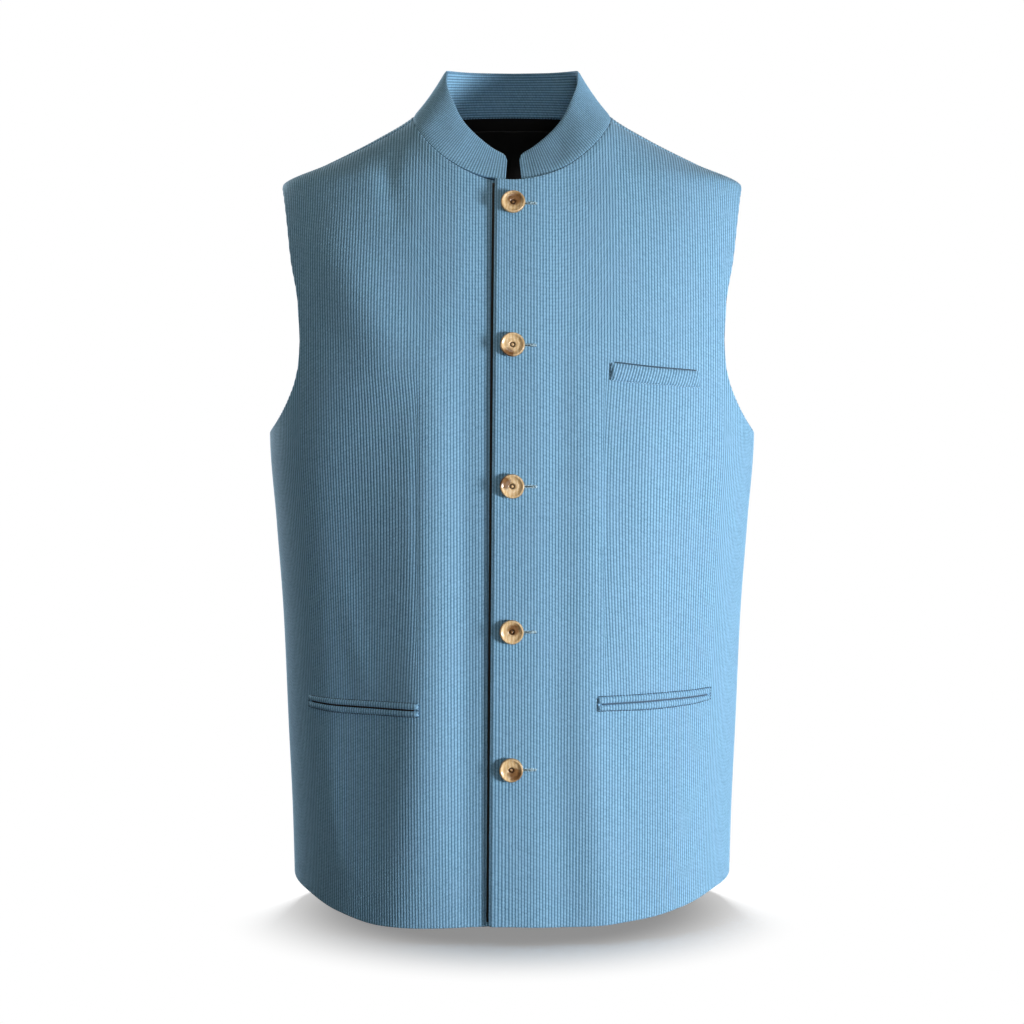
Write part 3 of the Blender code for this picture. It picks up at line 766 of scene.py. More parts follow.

# %% Corded cloth, lining and thread
# the crest colour is a painted highlight and the valley colour is painted shade, over the cords' own relief
CREST_HIGHLIGHT_BLUE = (0.320, 0.610, 0.860)
VALLEY_SHADE_BLUE = (0.085, 0.215, 0.365)
TINT_BLUE = (0.235, 0.400, 0.640)
SHEEN_BLUE = (0.75, 0.88, 1.0)
BLACK = (0.0020, 0.0018, 0.0020)
PALER_RIB_BLACK = (0.0050, 0.0045, 0.0050)
FIBRES_PER_METRE = 1800.0


def corded_material():
    material, tree, shader = new_material(
        "blue_cord", Sheen_Weight=0.22, Sheen_Roughness=0.45, Sheen_Tint=SHEEN_BLUE, Specular_IOR_Level=0.25
    )
    weave = add_node(tree, "ShaderNodeGroup", node_tree=CORD_WEAVE, Cords=cloth_map(tree), Nubs=0.95)
    fill(tree, weave, Crest=CREST_HIGHLIGHT_BLUE, Valley=VALLEY_SHADE_BLUE, Tint=TINT_BLUE)
    colour, height, roughness = weave.outputs
    bump = add_node(tree, "ShaderNodeBump", Strength=0.8, Distance=0.00022, Height=height)
    fill(tree, shader, Base_Color=colour, Roughness=roughness, Normal=bump.outputs[0])
    return material


def lining_material():
    """Black twill: fine slanting ribs."""
    material, tree, shader = new_material("black_lining", Sheen_Weight=0.10, Sheen_Roughness=0.3)
    twill = add_node(tree, "ShaderNodeTexWave", Vector=cloth_map(tree), Scale=2.2, Distortion=1.5)
    twill.bands_direction = "DIAGONAL"
    rib = twill.outputs["Fac"]
    roughness = add_node(tree, "ShaderNodeMapRange", Value=rib, To_Min=0.45, To_Max=0.62)
    bump = add_node(tree, "ShaderNodeBump", Strength=0.5, Distance=0.00008, Height=rib)
    # the raised twill ribs are a little paler than the hollows between them
    fill(tree, shader, Base_Color=mix_colour(tree, rib, BLACK, PALER_RIB_BLACK))
    fill(tree, shader, Roughness=roughness.outputs["Result"], Normal=bump.outputs[0])
    return material


def thread_material(name, pale, deep):
    """Twisted thread in two shades."""
    material, tree, shader = new_material(name, Roughness=0.6, Sheen_Weight=0.3)
    place = add_node(tree, "ShaderNodeTexCoord").outputs["Object"]
    twist = noise(tree, place, FIBRES_PER_METRE, 1.0)["Fac"]
    fill(tree, shader, Base_Color=mix_colour(tree, twist, deep, pale))
    return material


BLUE_CORD = corded_material()
# the black lining also serves as painted shade in the lap gap, the buttonhole slits and the right pocket's
# mouth
BLACK_LINING_AND_SHADE = lining_material()
# the dark thread also serves as painted shade in the left pocket's mouth and above the breast pocket's lip
DARK_THREAD_AND_SHADE = thread_material("dark_thread_and_shade", (0.040, 0.125, 0.215), (0.010, 0.036, 0.072))
PALE_THREAD = thread_material("pale_thread", (0.640, 0.860, 0.960), (0.340, 0.560, 0.700))
BLUE_THREAD = thread_material("blue_thread", (0.420, 0.700, 0.920), (0.240, 0.480, 0.700))
print("cloth, lining and threads ready")

# %% [markdown]
# ## The fronts and the back
#
# A panel's columns are its cords. Each one starts at the hem and runs up to the armhole, the
# shoulder or the neck, so the cords hang straight and are cut off by the edges, as on a real
# panel. A panel is made in two stretches that share a row of points level with the narrowest
# part of the armhole.

# %% Rows and columns of a panel
WALL = 0.0018
EDGE_ROWS = (0.0, 0.0006, 0.0015, 0.0032)
SEAM_INSET = 0.0002
HEM_ROWS = {"left_front": 52, "right_front": 52, "back": 29}
TOP_ROWS = {"left_front": 24, "right_front": 24, "back": 13}
PATH_STEPS = 60
HEM_BUNCHING = 1.0
TOP_BUNCHING = 2.0
NECK_SEAM = 0.5
START = {"left_front": -LAP, "right_front": -UNDERLAP, "back": 0.0}
HALF = {"left_front": "front", "right_front": "front", "back": "back"}


def row_lengths(length, count):
    """Distances along a column: even, but closer at both ends, where the edges are rounded."""
    inner = np.linspace(EDGE_ROWS[-1], length - EDGE_ROWS[-1], count)
    tall = length > 4 * EDGE_ROWS[-1]
    near = np.array(EDGE_ROWS[:-1])
    even = np.linspace(0, length, count + 2 * len(near))
    return np.concatenate([near, inner, length - near[::-1]]) if tall else even


def column_heights(panel, arcs, low, high, count, bunching, trim):
    """Heights of each column's rows, evenly spaced on the form, and their distance from the top."""
    t = np.linspace(0, 1, PATH_STEPS)
    heights = high[:, None] - (high - low)[:, None] * (1 - t) ** bunching
    found, to_top = [], []
    for levels, path in zip(heights, form_point(arcs[:, None], heights, HALF[panel])):
        length = distances_along(path)
        wanted = row_lengths(length[-1] - trim, count)
        found.append(np.interp(wanted, length, levels))
        to_top.append(length[-1] - trim - wanted)
    return np.array(found).T, np.array(to_top).T


def cord_columns(panel, keys):
    """Arcs of the columns: four to a cord, with the key arcs among them."""
    step = CORD / COLUMNS_PER_CORD
    stop = max(keys)
    arcs = np.arange(math.ceil(START[panel] / step), math.floor(stop / step) + 1) * step
    for key in [START[panel], *keys]:
        arcs[np.abs(arcs - key).argmin()] = key
    return arcs


print(f"columns {1000 * CORD / COLUMNS_PER_CORD:.3f} mm apart")

# %% Face and lining side of a grid
LAP_ROLL = 0.0009
LAP_ROLL_WIDTH = 0.0014
PRESSED_CORDS = 0.7
INNER_RELIEF = 0.4


def edge_relief(panel, cloth_arcs, to_top, has_seam_top):
    """Dips at the pressed seams and the rolled front edge."""
    relief = -SEAM_DIP * bump_at(FULL[HALF[panel]] - cloth_arcs, 0, SEAM_DIP_WIDTH)
    relief = relief - SEAM_DIP * bump_at(to_top, 0, SEAM_DIP_WIDTH) * has_seam_top
    if panel != "back":
        relief = relief - LAP_ROLL * bump_at(cloth_arcs - START[panel], 0, LAP_ROLL_WIDTH)
    return relief


def panel_faces(panel, arcs, heights, to_top, side=1, has_seam_top=0.0, wrap=False):
    """Outer points, inner points and the cloth map of one grid of a panel."""
    where = side * placed_arc(panel, arcs[None, :], heights)
    relief = edge_relief(panel, arcs[None, :], to_top, has_seam_top)
    flat = 1 - PRESSED_CORDS * bump_at(relief, -SEAM_DIP, SEAM_DIP / 2)
    cords = np.broadcast_to(arcs / CORD, heights.shape)
    outer = panel_point(panel, where, heights, relief + cord_relief(cords, flat), wrap)
    inner = panel_point(panel, where, heights, -WALL + INNER_RELIEF * relief, wrap)
    return outer, inner, np.stack([cords, (to_top.max() - to_top) / CORD], -1)


print(f"edges roll over {1000 * LAP_ROLL_WIDTH} mm")

# %% Both stretches of a half panel
def half_panel(panel, side=1):
    """The grids below and above the armhole's narrowest level, and the upper one's columns."""
    half = HALF[panel]
    narrow = float(ARMHOLE.read(half + "_edge", ARMHOLE_WAIST))
    corner, waist, tip = (float(arc_of_x(x, half)) for x in (NECK_CORNER, narrow, TIP_X))
    full = FULL[half] - SEAM_INSET

    arcs = cord_columns(panel, [corner, waist, full])
    x = x_of_arc(np.abs(arcs), half)
    high = np.where(arcs > waist, armhole_height(x, half, UNDERARM), ARMHOLE_WAIST)
    low = hem_height(panel, np.maximum(arcs, 0), half)
    heights, to_top = column_heights(panel, arcs, low, high, HEM_ROWS[panel], HEM_BUNCHING, 0.0)
    lower = panel_faces(panel, arcs, heights, to_top, side)

    arcs = cord_columns(panel, [corner, waist, tip])
    x = x_of_arc(np.abs(arcs), half)
    low = np.where(arcs > waist, armhole_height(x, half, SHOULDER_TIP), ARMHOLE_WAIST)
    if half == "back":
        neck, shoulder, trim = back_neck(x), ridge(x), 0.0
    else:
        neck, shoulder, trim = front_neck(x), ridge(x) - seam_drop(x), SHOULDER_TRIM
    high = np.where(arcs <= corner, neck, shoulder)
    heights, to_top = column_heights(panel, arcs, low, high, TOP_ROWS[panel], TOP_BUNCHING, trim)
    seam = np.where(arcs > corner, 1.0, NECK_SEAM)[None, :] * (half == "front")
    upper = panel_faces(panel, arcs, heights, to_top, side, seam)
    return lower, upper, arcs


def front_panel(name, panel):
    lower, upper, _ = half_panel(panel)
    flip = panel == "right_front"
    return sheet_object(name, [(*lower, flip), (*upper, flip)], [BLUE_CORD, BLACK_LINING_AND_SHADE])


front_left = front_panel("front_left_cloth", "left_front")
front_right = front_panel("front_right_cloth", "right_front")

# %% The back, which reaches over the shoulders
WRAP_ROWS = 6


def shoulder_strip(arcs, side):
    """The back's narrow strip between the shoulder's crest and the shoulder seam."""
    x = x_of_arc(arcs, "back")
    t = np.linspace(0, 1, WRAP_ROWS + 1)[:, None]
    heights = ridge(x)[None, :] - seam_drop(x)[None, :] * t**2
    to_top = seam_drop(x)[None, :] * (1 - t)
    return panel_faces("back", arcs, heights, to_top, side, wrap=True)


def back_panel():
    """Both halves, each with its strip sewn on to the half's top row."""
    parts = []
    for side in (1, -1):
        lower, upper, arcs = half_panel("back", side)
        over = arcs >= float(arc_of_x(NECK_CORNER, "back"))
        strip = list(shoulder_strip(arcs[over], side))
        for k in range(2):
            strip[k][0] = upper[k][-1, over]
        parts += [(*grid, side == 1) for grid in (lower, upper, strip)]
    return sheet_object("back_cloth", parts, [BLUE_CORD, BLACK_LINING_AND_SHADE])


back = back_panel()

# %% [markdown]
# ## The stand collar
#
# The collar is two bands, joined at the top edge. The outer one has upright cords, and the
# inner one is cut the other way, so its cords run round the neck. A band is a grid between
# two curves: the neckline, and an upper edge that leans in, open at the front, with the
# corners rounded.

# %% The neckline and the collar's upper edge
COLLAR_TOP = Table(
    "turn_deg half_width depth height",
    (
        (-90.0, 0.0, 0.0450, 0.0437),
        (-60.0, 0.0288, 0.0415, 0.0436),
        (-30.0, 0.0498, 0.0285, 0.0432),
        (-8.0, 0.0572, 0.0120, 0.0415),
        (10.0, 0.0568, -0.0030, 0.0320),
        (33.0, 0.0482, -0.0235, 0.0080),
        (46.0, 0.0408, -0.0330, -0.0060),
        (62.0, 0.0267, -0.0435, -0.0215),
        (80.0, 0.0104, -0.0515, -0.0335),
        (90.0, 0.0, -0.0535, -0.0370),
    ),
)
NECK_SAMPLES = 90
CREST_SAMPLES = 12


def spread(path, shares):
    """Points at shares of a path's length."""
    length = distances_along(path)
    return np.stack([np.interp(shares * length[-1], length, path[:, k]) for k in range(3)], -1)


def neck_path():
    """The neckline from the centre back, over the shoulder, to the centre front."""
    x = NECK_CORNER * np.sin(np.linspace(0, math.pi / 2, NECK_SAMPLES))
    crest = ridge(NECK_CORNER)
    rise = crest + (back_neck(NECK_CORNER) - crest) * np.linspace(1, 0, CREST_SAMPLES) ** 2
    fall = crest + (front_neck(NECK_CORNER) - crest) * np.linspace(0, 1, CREST_SAMPLES) ** 2
    corner = np.full(CREST_SAMPLES, NECK_CORNER)
    stretches = (
        ("back", x, back_neck(x)),
        ("back", corner, rise),
        ("front", corner, fall),
        ("front", x[::-1], front_neck(x[::-1])),
    )
    paths = [form_point(arc_of_x(reach, half), z, half) for half, reach, z in stretches]
    path = np.concatenate(paths)
    return path[np.concatenate([[True], steps_along(path) > WELD])]


def edge_path():
    """The collar's upper edge, from the centre back to the centre front."""
    degrees = np.linspace(-90, 90, 181)
    names = ("half_width", "depth", "height")
    return np.stack([COLLAR_TOP.read(name, degrees) for name in names], -1)


NECK_PATH, EDGE_PATH = neck_path(), edge_path()
NECK_LENGTH = steps_along(NECK_PATH).sum()
print(f"half neckline {1000 * NECK_LENGTH:.0f} mm")

# %% Points on the collar
SEAM_LIFT = 0.0008
FRONT_LIFT = 0.0008
OUTER_WALL = 0.0014
INNER_WALL = 0.0012
SEAM_GAP = 0.0003
TURN_STEP = 0.002
DIMPLE_REACH = 0.42
DIMPLE_NAMES = "turn share turn_width share_width depth".split()
DIMPLES = (
    (0.80, 0.55, 0.035, 0.28, -0.0009),
    (0.70, 0.35, 0.040, 0.25, 0.0007),
    (0.60, 0.60, 0.030, 0.30, -0.0006),
    (0.90, 0.30, 0.030, 0.25, 0.0005),
    (-0.66, 0.45, 0.040, 0.30, -0.0008),
    (-0.78, 0.60, 0.030, 0.30, 0.0006),
    (-0.52, 0.35, 0.035, 0.25, 0.0005),
    (0.20, 0.50, 0.050, 0.40, -0.0006),
    (-0.12, 0.55, 0.045, 0.35, 0.0006),
    (-0.30, 0.45, 0.035, 0.35, -0.0006),
)


def collar_point(turn, share):
    """Point on the outer band. The turn is 0 at the centre back and 1 or -1 at the centre front."""
    reach = np.abs(turn)
    base, top = spread(NECK_PATH, reach), spread(EDGE_PATH, reach)
    wall = top - base
    height = np.linalg.norm(wall, axis=-1, keepdims=True)
    lift = SEAM_LIFT + FRONT_LIFT * ease(2 * reach - 1)[..., None]
    point = base + wall * (lift / height + share[..., None] * (1 - lift / height))
    point[..., 0] *= np.where(turn < 0, -1, 1)
    return point


def collar_faces(turns, shares, depth, wall, relief, outside):
    """Face and hidden side of a band at a depth inside the outer one."""
    around = collar_point(turns + TURN_STEP, shares) - collar_point(turns - TURN_STEP, shares)
    up = collar_point(turns, shares + TURN_STEP) - collar_point(turns, shares - TURN_STEP)
    normal = np.cross(up, around)
    normal /= np.linalg.norm(normal, axis=-1, keepdims=True)
    dimple = np.zeros(turns.shape)
    for row in DIMPLES:
        at = dict(zip(DIMPLE_NAMES, row))
        near = bump_at(turns, at["turn"], at["turn_width"])
        dimple = dimple + at["depth"] * near * bump_at(shares, at["share"], at["share_width"])
    dimple = dimple * bump_at(shares, 0.5, DIMPLE_REACH)
    point = collar_point(turns, shares) + normal * dimple[..., None]
    face = relief - depth if outside else -depth - wall - relief
    hidden = -depth - wall if outside else -depth
    return point + normal * np.broadcast_to(face, turns.shape)[..., None], point + normal * hidden


print(len(DIMPLES), "dimples in the collar")

# %% The two bands
LEFT_END = 0.0085
RIGHT_END = 0.0060
END_RADIUS = 0.0080
END_DROP = 0.28
INNER_TOP_SHARE = 0.985
BAND_HEIGHT = 0.043
ROWS_NEAR_SEAM = (0.0, 0.012, 0.035, 0.075)
ROWS_BETWEEN = (0.16, 0.27, 0.38, 0.5, 0.62, 0.73, 0.84)
ROWS_NEAR_TOP = (0.91, 0.95, 0.975, 0.99, 1.0)
INNER_COLUMN = 0.0022
COLLAR_SEAM_DIP = 0.0005
COLLAR_TOP_ROLL = 0.0004


def collar_turns(step):
    """Even turns from the wearer's right end to the left one, closer at the rounded ends."""
    left, right = 1 - LEFT_END / NECK_LENGTH, 1 - RIGHT_END / NECK_LENGTH
    near = END_RADIUS / NECK_LENGTH * (1 - np.cos(np.linspace(0, math.pi / 2, 14)))
    count = round((left + right - 2 * near[-1]) * NECK_LENGTH / step)
    middle = np.linspace(near[-1] - right, left - near[-1], count)[1:-1]
    turns = np.concatenate([near - right, middle, (left - near)[::-1]])
    to_end = np.minimum(left - turns, right + turns) * NECK_LENGTH / END_RADIUS
    return turns, END_DROP * (1 - np.sqrt(1 - np.clip(1 - to_end, 0, 1) ** 2))


def collar_outer():
    turns, drop = collar_turns(CORD / COLUMNS_PER_CORD)
    shares = np.array(ROWS_NEAR_SEAM + ROWS_BETWEEN + ROWS_NEAR_TOP)[:, None] * (1 - drop)
    turns = np.broadcast_to(turns, shares.shape)
    cords = turns * NECK_LENGTH / CORD
    pressed = bump_at(shares, 0, 0.04)
    relief = cord_relief(cords, 1 - PRESSED_CORDS * pressed) - COLLAR_SEAM_DIP * pressed
    relief = relief - COLLAR_TOP_ROLL * bump_at(shares, 1, 0.03)
    face, hidden = collar_faces(turns, shares, 0.0, OUTER_WALL, relief, outside=True)
    uv = np.stack([cords, shares * BAND_HEIGHT / CORD], -1)
    return sheet_object("collar_outer_cloth", [(face, hidden, uv, True)], [BLUE_CORD])


def collar_inner():
    turns, drop = collar_turns(INNER_COLUMN)
    rows = np.append(np.arange(0, BAND_HEIGHT, CORD / COLUMNS_PER_CORD) / BAND_HEIGHT, 1.0)
    shares = rows[:, None] * INNER_TOP_SHARE * (1 - drop)
    turns = np.broadcast_to(turns, shares.shape)
    cords = np.broadcast_to(rows[:, None] * BAND_HEIGHT / CORD, shares.shape)
    depth = OUTER_WALL + SEAM_GAP
    face, hidden = collar_faces(turns, shares, depth, INNER_WALL, cord_relief(cords), outside=False)
    uv = np.stack([cords, turns * NECK_LENGTH / CORD], -1)
    return sheet_object("collar_inner_cloth", [(face, hidden, uv, False)], [BLUE_CORD])


outer_band = collar_outer()
inner_band = collar_inner()

# %% [markdown]
# ## The back lining
#
# Through the neck only the black lining of the back shows. It is a smooth sheet a little
# smaller than the back, with no cords, so it needs few points. A pleat down its middle gives
# the wearer room to reach, as in most lined jackets.

# %% The lining
LINING_INSET = 0.009
LINING_HEM_INSET = 0.018
LINING_LIFT = -0.0045
LINING_WALL = 0.0009
LINING_STEP = 0.006
LINING_ROWS = (26, 14)
PLEAT_WIDTH = 0.008
PLEAT_DEPTH = 0.0014
PLEAT_COLUMNS = (0.0, 0.002, 0.004, 0.006, 0.008)


def layer_grid(panel, arcs, heights, top, low, cords=None):
    """A layer over a panel: its face, its hidden side, its cloth map and whether it is flipped."""
    uv = np.stack(np.broadcast_arrays(arcs / CORD if cords is None else cords, heights / CORD), -1)
    face, hidden = (panel_point(panel, arcs, heights, lift) for lift in (top, low))
    return face, hidden, uv, panel == "right_front"


def lining_grids(side):
    """The lining's two stretches on one side, inside the back."""
    narrow = float(ARMHOLE.read("back_edge", ARMHOLE_WAIST)) - LINING_INSET
    corner, waist, tip = (float(arc_of_x(x, "back")) for x in (NECK_CORNER, narrow, TIP_X - LINING_INSET))
    near = np.concatenate([PLEAT_COLUMNS, np.arange(0.012, waist, LINING_STEP), [waist]])
    grids = []
    for level, end in (("lower", FULL["back"] - LINING_INSET), ("upper", tip)):
        arcs = np.append(near, waist + (end - waist) * np.linspace(0, 1, 12)[1:] ** 1.4)
        x = x_of_arc(arcs, "back")
        limit = UNDERARM if level == "lower" else SHOULDER_TIP
        edge = armhole_height(x + LINING_INSET, "back", limit)
        middle = np.where(arcs > waist, edge, ARMHOLE_WAIST)
        if level == "lower":
            low = hem_height("back", arcs, "back") + LINING_HEM_INSET
            levels = (low, middle, LINING_ROWS[0], HEM_BUNCHING)
        else:
            high = np.where(arcs <= corner, back_neck(x), ridge(x)) - LINING_INSET
            levels = (middle, high, LINING_ROWS[1], TOP_BUNCHING)
        heights, _ = column_heights("back", arcs, *levels, 0.0)
        lift = LINING_LIFT - PLEAT_DEPTH * bump_at(arcs, 0, PLEAT_WIDTH)
        face, hidden, uv, _ = layer_grid("back", side * arcs[None, :], heights, lift, lift - LINING_WALL)
        grids.append((face, hidden, uv, side == 1))
    return grids


lining = sheet_object("lining_back_cloth", lining_grids(1) + lining_grids(-1), [BLACK_LINING_AND_SHADE])

# %% [markdown]
# ## Pockets
#
# The breast pocket has one broad lip, cut on the slant, so its cords lean. Each lower pocket
# has two narrow lips that meet at a mouth, and there the cords run on from the panel. The shade
# in each mouth, and just above the breast pocket's lip, is painted as a thin dark strip. A lip is
# folded cloth: it swells between its two seams. All of them lie on the front's own points,
# moved out, so they follow its curve.

# %% Lips
LIP_NAMES = "arc top mouth bottom"
CHEST_WELT = Table(
    "arc top bottom",
    (
        (0.0805, -0.2080, -0.2225),
        (0.1200, -0.2125, -0.2260),
        (0.1585, -0.2155, -0.2285),
    ),
)
LEFT_JETS = Table(
    LIP_NAMES,
    (
        (0.0700, -0.4810, -0.4873, -0.4925),
        (0.1200, -0.4812, -0.4872, -0.4938),
        (0.1560, -0.4812, -0.4870, -0.4930),
        (0.1830, -0.4805, -0.4862, -0.4905),
    ),
)
RIGHT_JETS = Table(
    LIP_NAMES,
    (
        (0.0760, -0.4860, -0.4918, -0.4970),
        (0.1160, -0.4875, -0.4930, -0.4985),
        (0.1560, -0.4885, -0.4937, -0.4995),
        (0.1900, -0.4880, -0.4925, -0.4975),
    ),
)
LIP_LOW = 0.0001
LIP_SWELL = 0.0021
LIP_ROOT = 0.0006
LIP_ROUNDNESS = 0.4
LIP_CORNER = 0.0012
LIP_CORNER_SQUASH = 0.7
LIP_STEP = CORD / 6
LIP_ROW = 0.0008
WELT_SLANT = math.tan(math.radians(16))
MOUTH_HALF = 0.0006
MOUTH_OPEN = 1.3
MOUTH_INSET = 0.002
MOUTH_LIFT = 0.0004


def lip_object(name, panel, table, top, bottom, trims, slant=0.0, cord_strength=0.9):
    """A folded lip between two lines of its table, less the trims at its top and bottom."""
    count = round((table.key[-1] - table.key[0]) / LIP_STEP)
    arcs = np.linspace(table.key[0], table.key[-1], count + 1)
    high, low = table.read(top, arcs) - trims[0], table.read(bottom, arcs) + trims[1]
    rows = max(6, round(float((high - low).max()) / LIP_ROW))
    share = np.linspace(0, 1, rows + 1)[:, None]
    share = (1 - np.cos(math.pi * share)) / 2
    heights = low + (high - low) * share
    cords = (arcs[None, :] - (heights - heights.mean()) * slant) / CORD
    to_end = np.minimum(arcs - arcs[0], arcs[-1] - arcs)[None, :]
    swell = LIP_SWELL * (4 * share * (1 - share)) ** LIP_ROUNDNESS
    swell = swell * (1 - LIP_CORNER_SQUASH * bump_at(to_end, 0, LIP_CORNER))
    top = LIP_LOW + swell + cord_relief(cords, cord_strength)
    grid = layer_grid(panel, arcs[None, :], heights, top, LIP_LOW - LIP_ROOT, cords)
    return sheet_object(name, [grid], [BLUE_CORD], edge_bulge=0.3)


def mouth_shadow_object(name, panel, table, line="mouth", above=0.0, width=1.0):
    """Painted shade: a dark strip along a line of a pocket, where its slit lies in shadow, tapered to a
    point at both ends.
    """
    arcs = np.linspace(table.key[0] + MOUTH_INSET, table.key[-1] - MOUTH_INSET, 60)
    share = (arcs - arcs[0]) / (arcs[-1] - arcs[0])
    half = MOUTH_HALF * MOUTH_OPEN * width * np.sin(math.pi * share) ** 0.35
    heights = table.read(line, arcs) + above + half * np.array([[-1], [0], [1]])
    grid = layer_grid(panel, arcs[None, :], heights, LIP_LOW + MOUTH_LIFT, LIP_LOW - MOUTH_LIFT)
    return sheet_object(name, [grid], [BLACK_LINING_AND_SHADE if panel == "right_front" else DARK_THREAD_AND_SHADE])


welt = lip_object("chest_welt_cloth", "left_front", CHEST_WELT, "top", "bottom", (0, 0), WELT_SLANT, 1.7)
lips = {"chest_welt": welt}
# the breast pocket's mouth is a thin dark line of painted shade just above its lip
mouth_shadows = [mouth_shadow_object("chest_welt_mouth_shadow", "left_front", CHEST_WELT, "top", 0.0005, 0.4)]
for side, panel, table in (("left", "left_front", LEFT_JETS), ("right", "right_front", RIGHT_JETS)):
    for part, top, bottom, trims in (
        ("upper", "top", "mouth", (0, MOUTH_HALF)),
        ("lower", "mouth", "bottom", (MOUTH_HALF, 0)),
    ):
        node = f"pocket_{side}_{part}"
        lips[node] = lip_object(node + "_cloth", panel, table, top, bottom, trims)
    mouth_shadows.append(mouth_shadow_object(f"pocket_{side}_mouth", panel, table))

# %% [markdown]
# ## Thread
#
# Stitches are short bits of twisted thread that sink into the cloth at both ends. A tube
# along a few points is all that one needs, and all the stitches of a kind are joined in one
# mesh. The lower pockets are outlined in dark thread, with a bar at each end, the breast
# pocket's edge in light blue, and the buttonholes in pale thread that has begun to fray.

# %% Tubes and stitches
TUBE_SIDES = 6
TUBE_END = 0.35
CAP = np.array([[0, 1, 2, 3], [0, 3, 4, 5]])
STITCH_SHARES = np.array([0, 0.15, 0.5, 0.85, 1])
STITCH_SINK = np.array([0.0004, 0.0001, 0.0, 0.0001, 0.0004])


def tube(path, radius):
    """Points and quads of a closed tube along a path, thinner at both ends."""
    path = np.asarray(path, float)
    run = np.gradient(path, axis=0)
    run /= np.linalg.norm(run, axis=1, keepdims=True)
    spare = np.where(np.abs(run[:, [2]]) < 0.8, np.array([[0.0, 0, 1]]), np.array([[1.0, 0, 0]]))
    one = np.cross(run, spare)
    one /= np.linalg.norm(one, axis=1, keepdims=True)
    two = np.cross(run, one)
    turn = np.arange(TUBE_SIDES) * 2 * math.pi / TUBE_SIDES
    taper = np.ones(len(path))
    taper[[0, -1]] = TUBE_END
    ring = np.cos(turn)[None, :, None] * one[:, None] + np.sin(turn)[None, :, None] * two[:, None]
    points = (path[:, None] + ring * (radius * taper)[:, None, None]).reshape(-1, 3)
    index = np.arange(len(points)).reshape(len(path), TUBE_SIDES)
    after = np.roll(index, -1, axis=1)
    quads = np.stack([index[:-1], after[:-1], after[1:], index[1:]], -1).reshape(-1, 4)
    return points, np.concatenate([quads, index[0][CAP][:, ::-1], index[-1][CAP]])


def threads_object(name, paths, radius, material):
    """All the threads of one kind as one mesh."""
    points, faces, start = [], [], 0
    for path in paths:
        tube_points, tube_faces = tube(path, radius)
        points.append(tube_points)
        faces.append(tube_faces + start)
        start += len(tube_points)
    points, faces = np.concatenate(points), np.concatenate(faces)
    obj = new_mesh_object(name, points, faces, np.zeros((len(points), 2)), [material])
    print(f"{name}: {len(paths)} threads, {2 * len(faces)} triangles")
    return obj


def stitches(panel, arcs, heights, lift, length, gap):
    """Stitches along a line on a panel. Each one rises out of the cloth and sinks back."""
    line = panel_point(panel, arcs, heights, lift)
    total = steps_along(line).sum()
    found = []
    for begin in np.arange(gap / 2, total - length, length + gap):
        middle = spread(line, (begin + length * STITCH_SHARES) / total)
        found.append(middle - outward(middle) * STITCH_SINK[:, None])
    return found


print("stitches rise and sink")

# %% Stitched outlines of the lips
STITCH = 0.0021
STITCH_GAP = 0.0006
OUTLINE_LIFT = 0.0004
BAR_STITCH = 0.0019
WELT_BAR_STITCH = 0.0024
BAR_GAP = 0.0004
BAR_LIFT = 0.0006
BAR_OVER = 0.0006
BAR_UNDER = 0.0008
DARK_OUTSIDE = 0.0003
BLUE_OUTSIDE = 0.0002


def outline(panel, table, line, outside):
    """Stitches just outside one line of a pocket's table."""
    arcs = np.linspace(table.key[0], table.key[-1], 60)
    return stitches(panel, arcs, table.read(line, arcs) + outside, OUTLINE_LIFT, STITCH, STITCH_GAP)


def bar(panel, arc, low, high, length):
    """An upright bar of thread."""
    heights = np.linspace(low, high, 12)
    return stitches(panel, np.full(12, arc), heights, BAR_LIFT, length, BAR_GAP)


def jets_stitches(panel, table):
    """Both outlines of a lower pocket, and a bar at each end."""
    found = outline(panel, table, "top", DARK_OUTSIDE) + outline(panel, table, "bottom", -DARK_OUTSIDE)
    for end, outside in ((0, -BLUE_OUTSIDE), (-1, BLUE_OUTSIDE)):
        high, low = (float(table.read(line, table.key[end])) for line in ("top", "bottom"))
        found += bar(panel, table.key[end] + outside, low - BAR_UNDER, high + BAR_OVER, BAR_STITCH)
    return found


first_bar = bar("left_front", CHEST_WELT.key[0] - DARK_OUTSIDE, -0.2225, -0.2080, WELT_BAR_STITCH)
last_bar = bar("left_front", CHEST_WELT.key[-1] + BLUE_OUTSIDE, -0.2290, -0.2155, WELT_BAR_STITCH)
dark = jets_stitches("left_front", LEFT_JETS) + jets_stitches("right_front", RIGHT_JETS) + first_bar
blue = outline("left_front", CHEST_WELT, "bottom", -BLUE_OUTSIDE) + last_bar
pocket_stitches = threads_object("pocket_stitches", dark, 0.00034, DARK_THREAD_AND_SHADE)
welt_stitches = threads_object("welt_stitches", blue, 0.00036, BLUE_THREAD)

# %% [markdown]
# ## Buttons
#
# The five buttons are turned from horn: a disc with a raised rim, a shallow dish, and in the
# middle a well with a small bead. Horn is cloudy and streaked, and every button shows its dark
# heart at another side. So the streaks are a node group with the heart's place as an input,
# and each button's material sets its own.

# %% The horn's colours
PALE_HORN = ((0.70, 0.44, 0.19), (0.98, 0.80, 0.52), (0.84, 0.57, 0.29))
BROWN_HORN = ((0.10, 0.040, 0.012), (0.40, 0.20, 0.07))
WELL_BROWN_AND_EDGE_SHADE = (0.060, 0.026, 0.009)
HORN_WARP = (0.55, 0.55, 0.0)
WELL_AND_EDGE_SHADE_STOPS = (
    (0.0, 0.0),
    (0.095, 0.0),
    (0.13, 1.0),
    (0.20, 0.9),
    (0.25, 0.0),
    # the outer edge: painted shade on the disc's rounded side
    (0.90, 0.0),
    (0.97, 0.55),
)


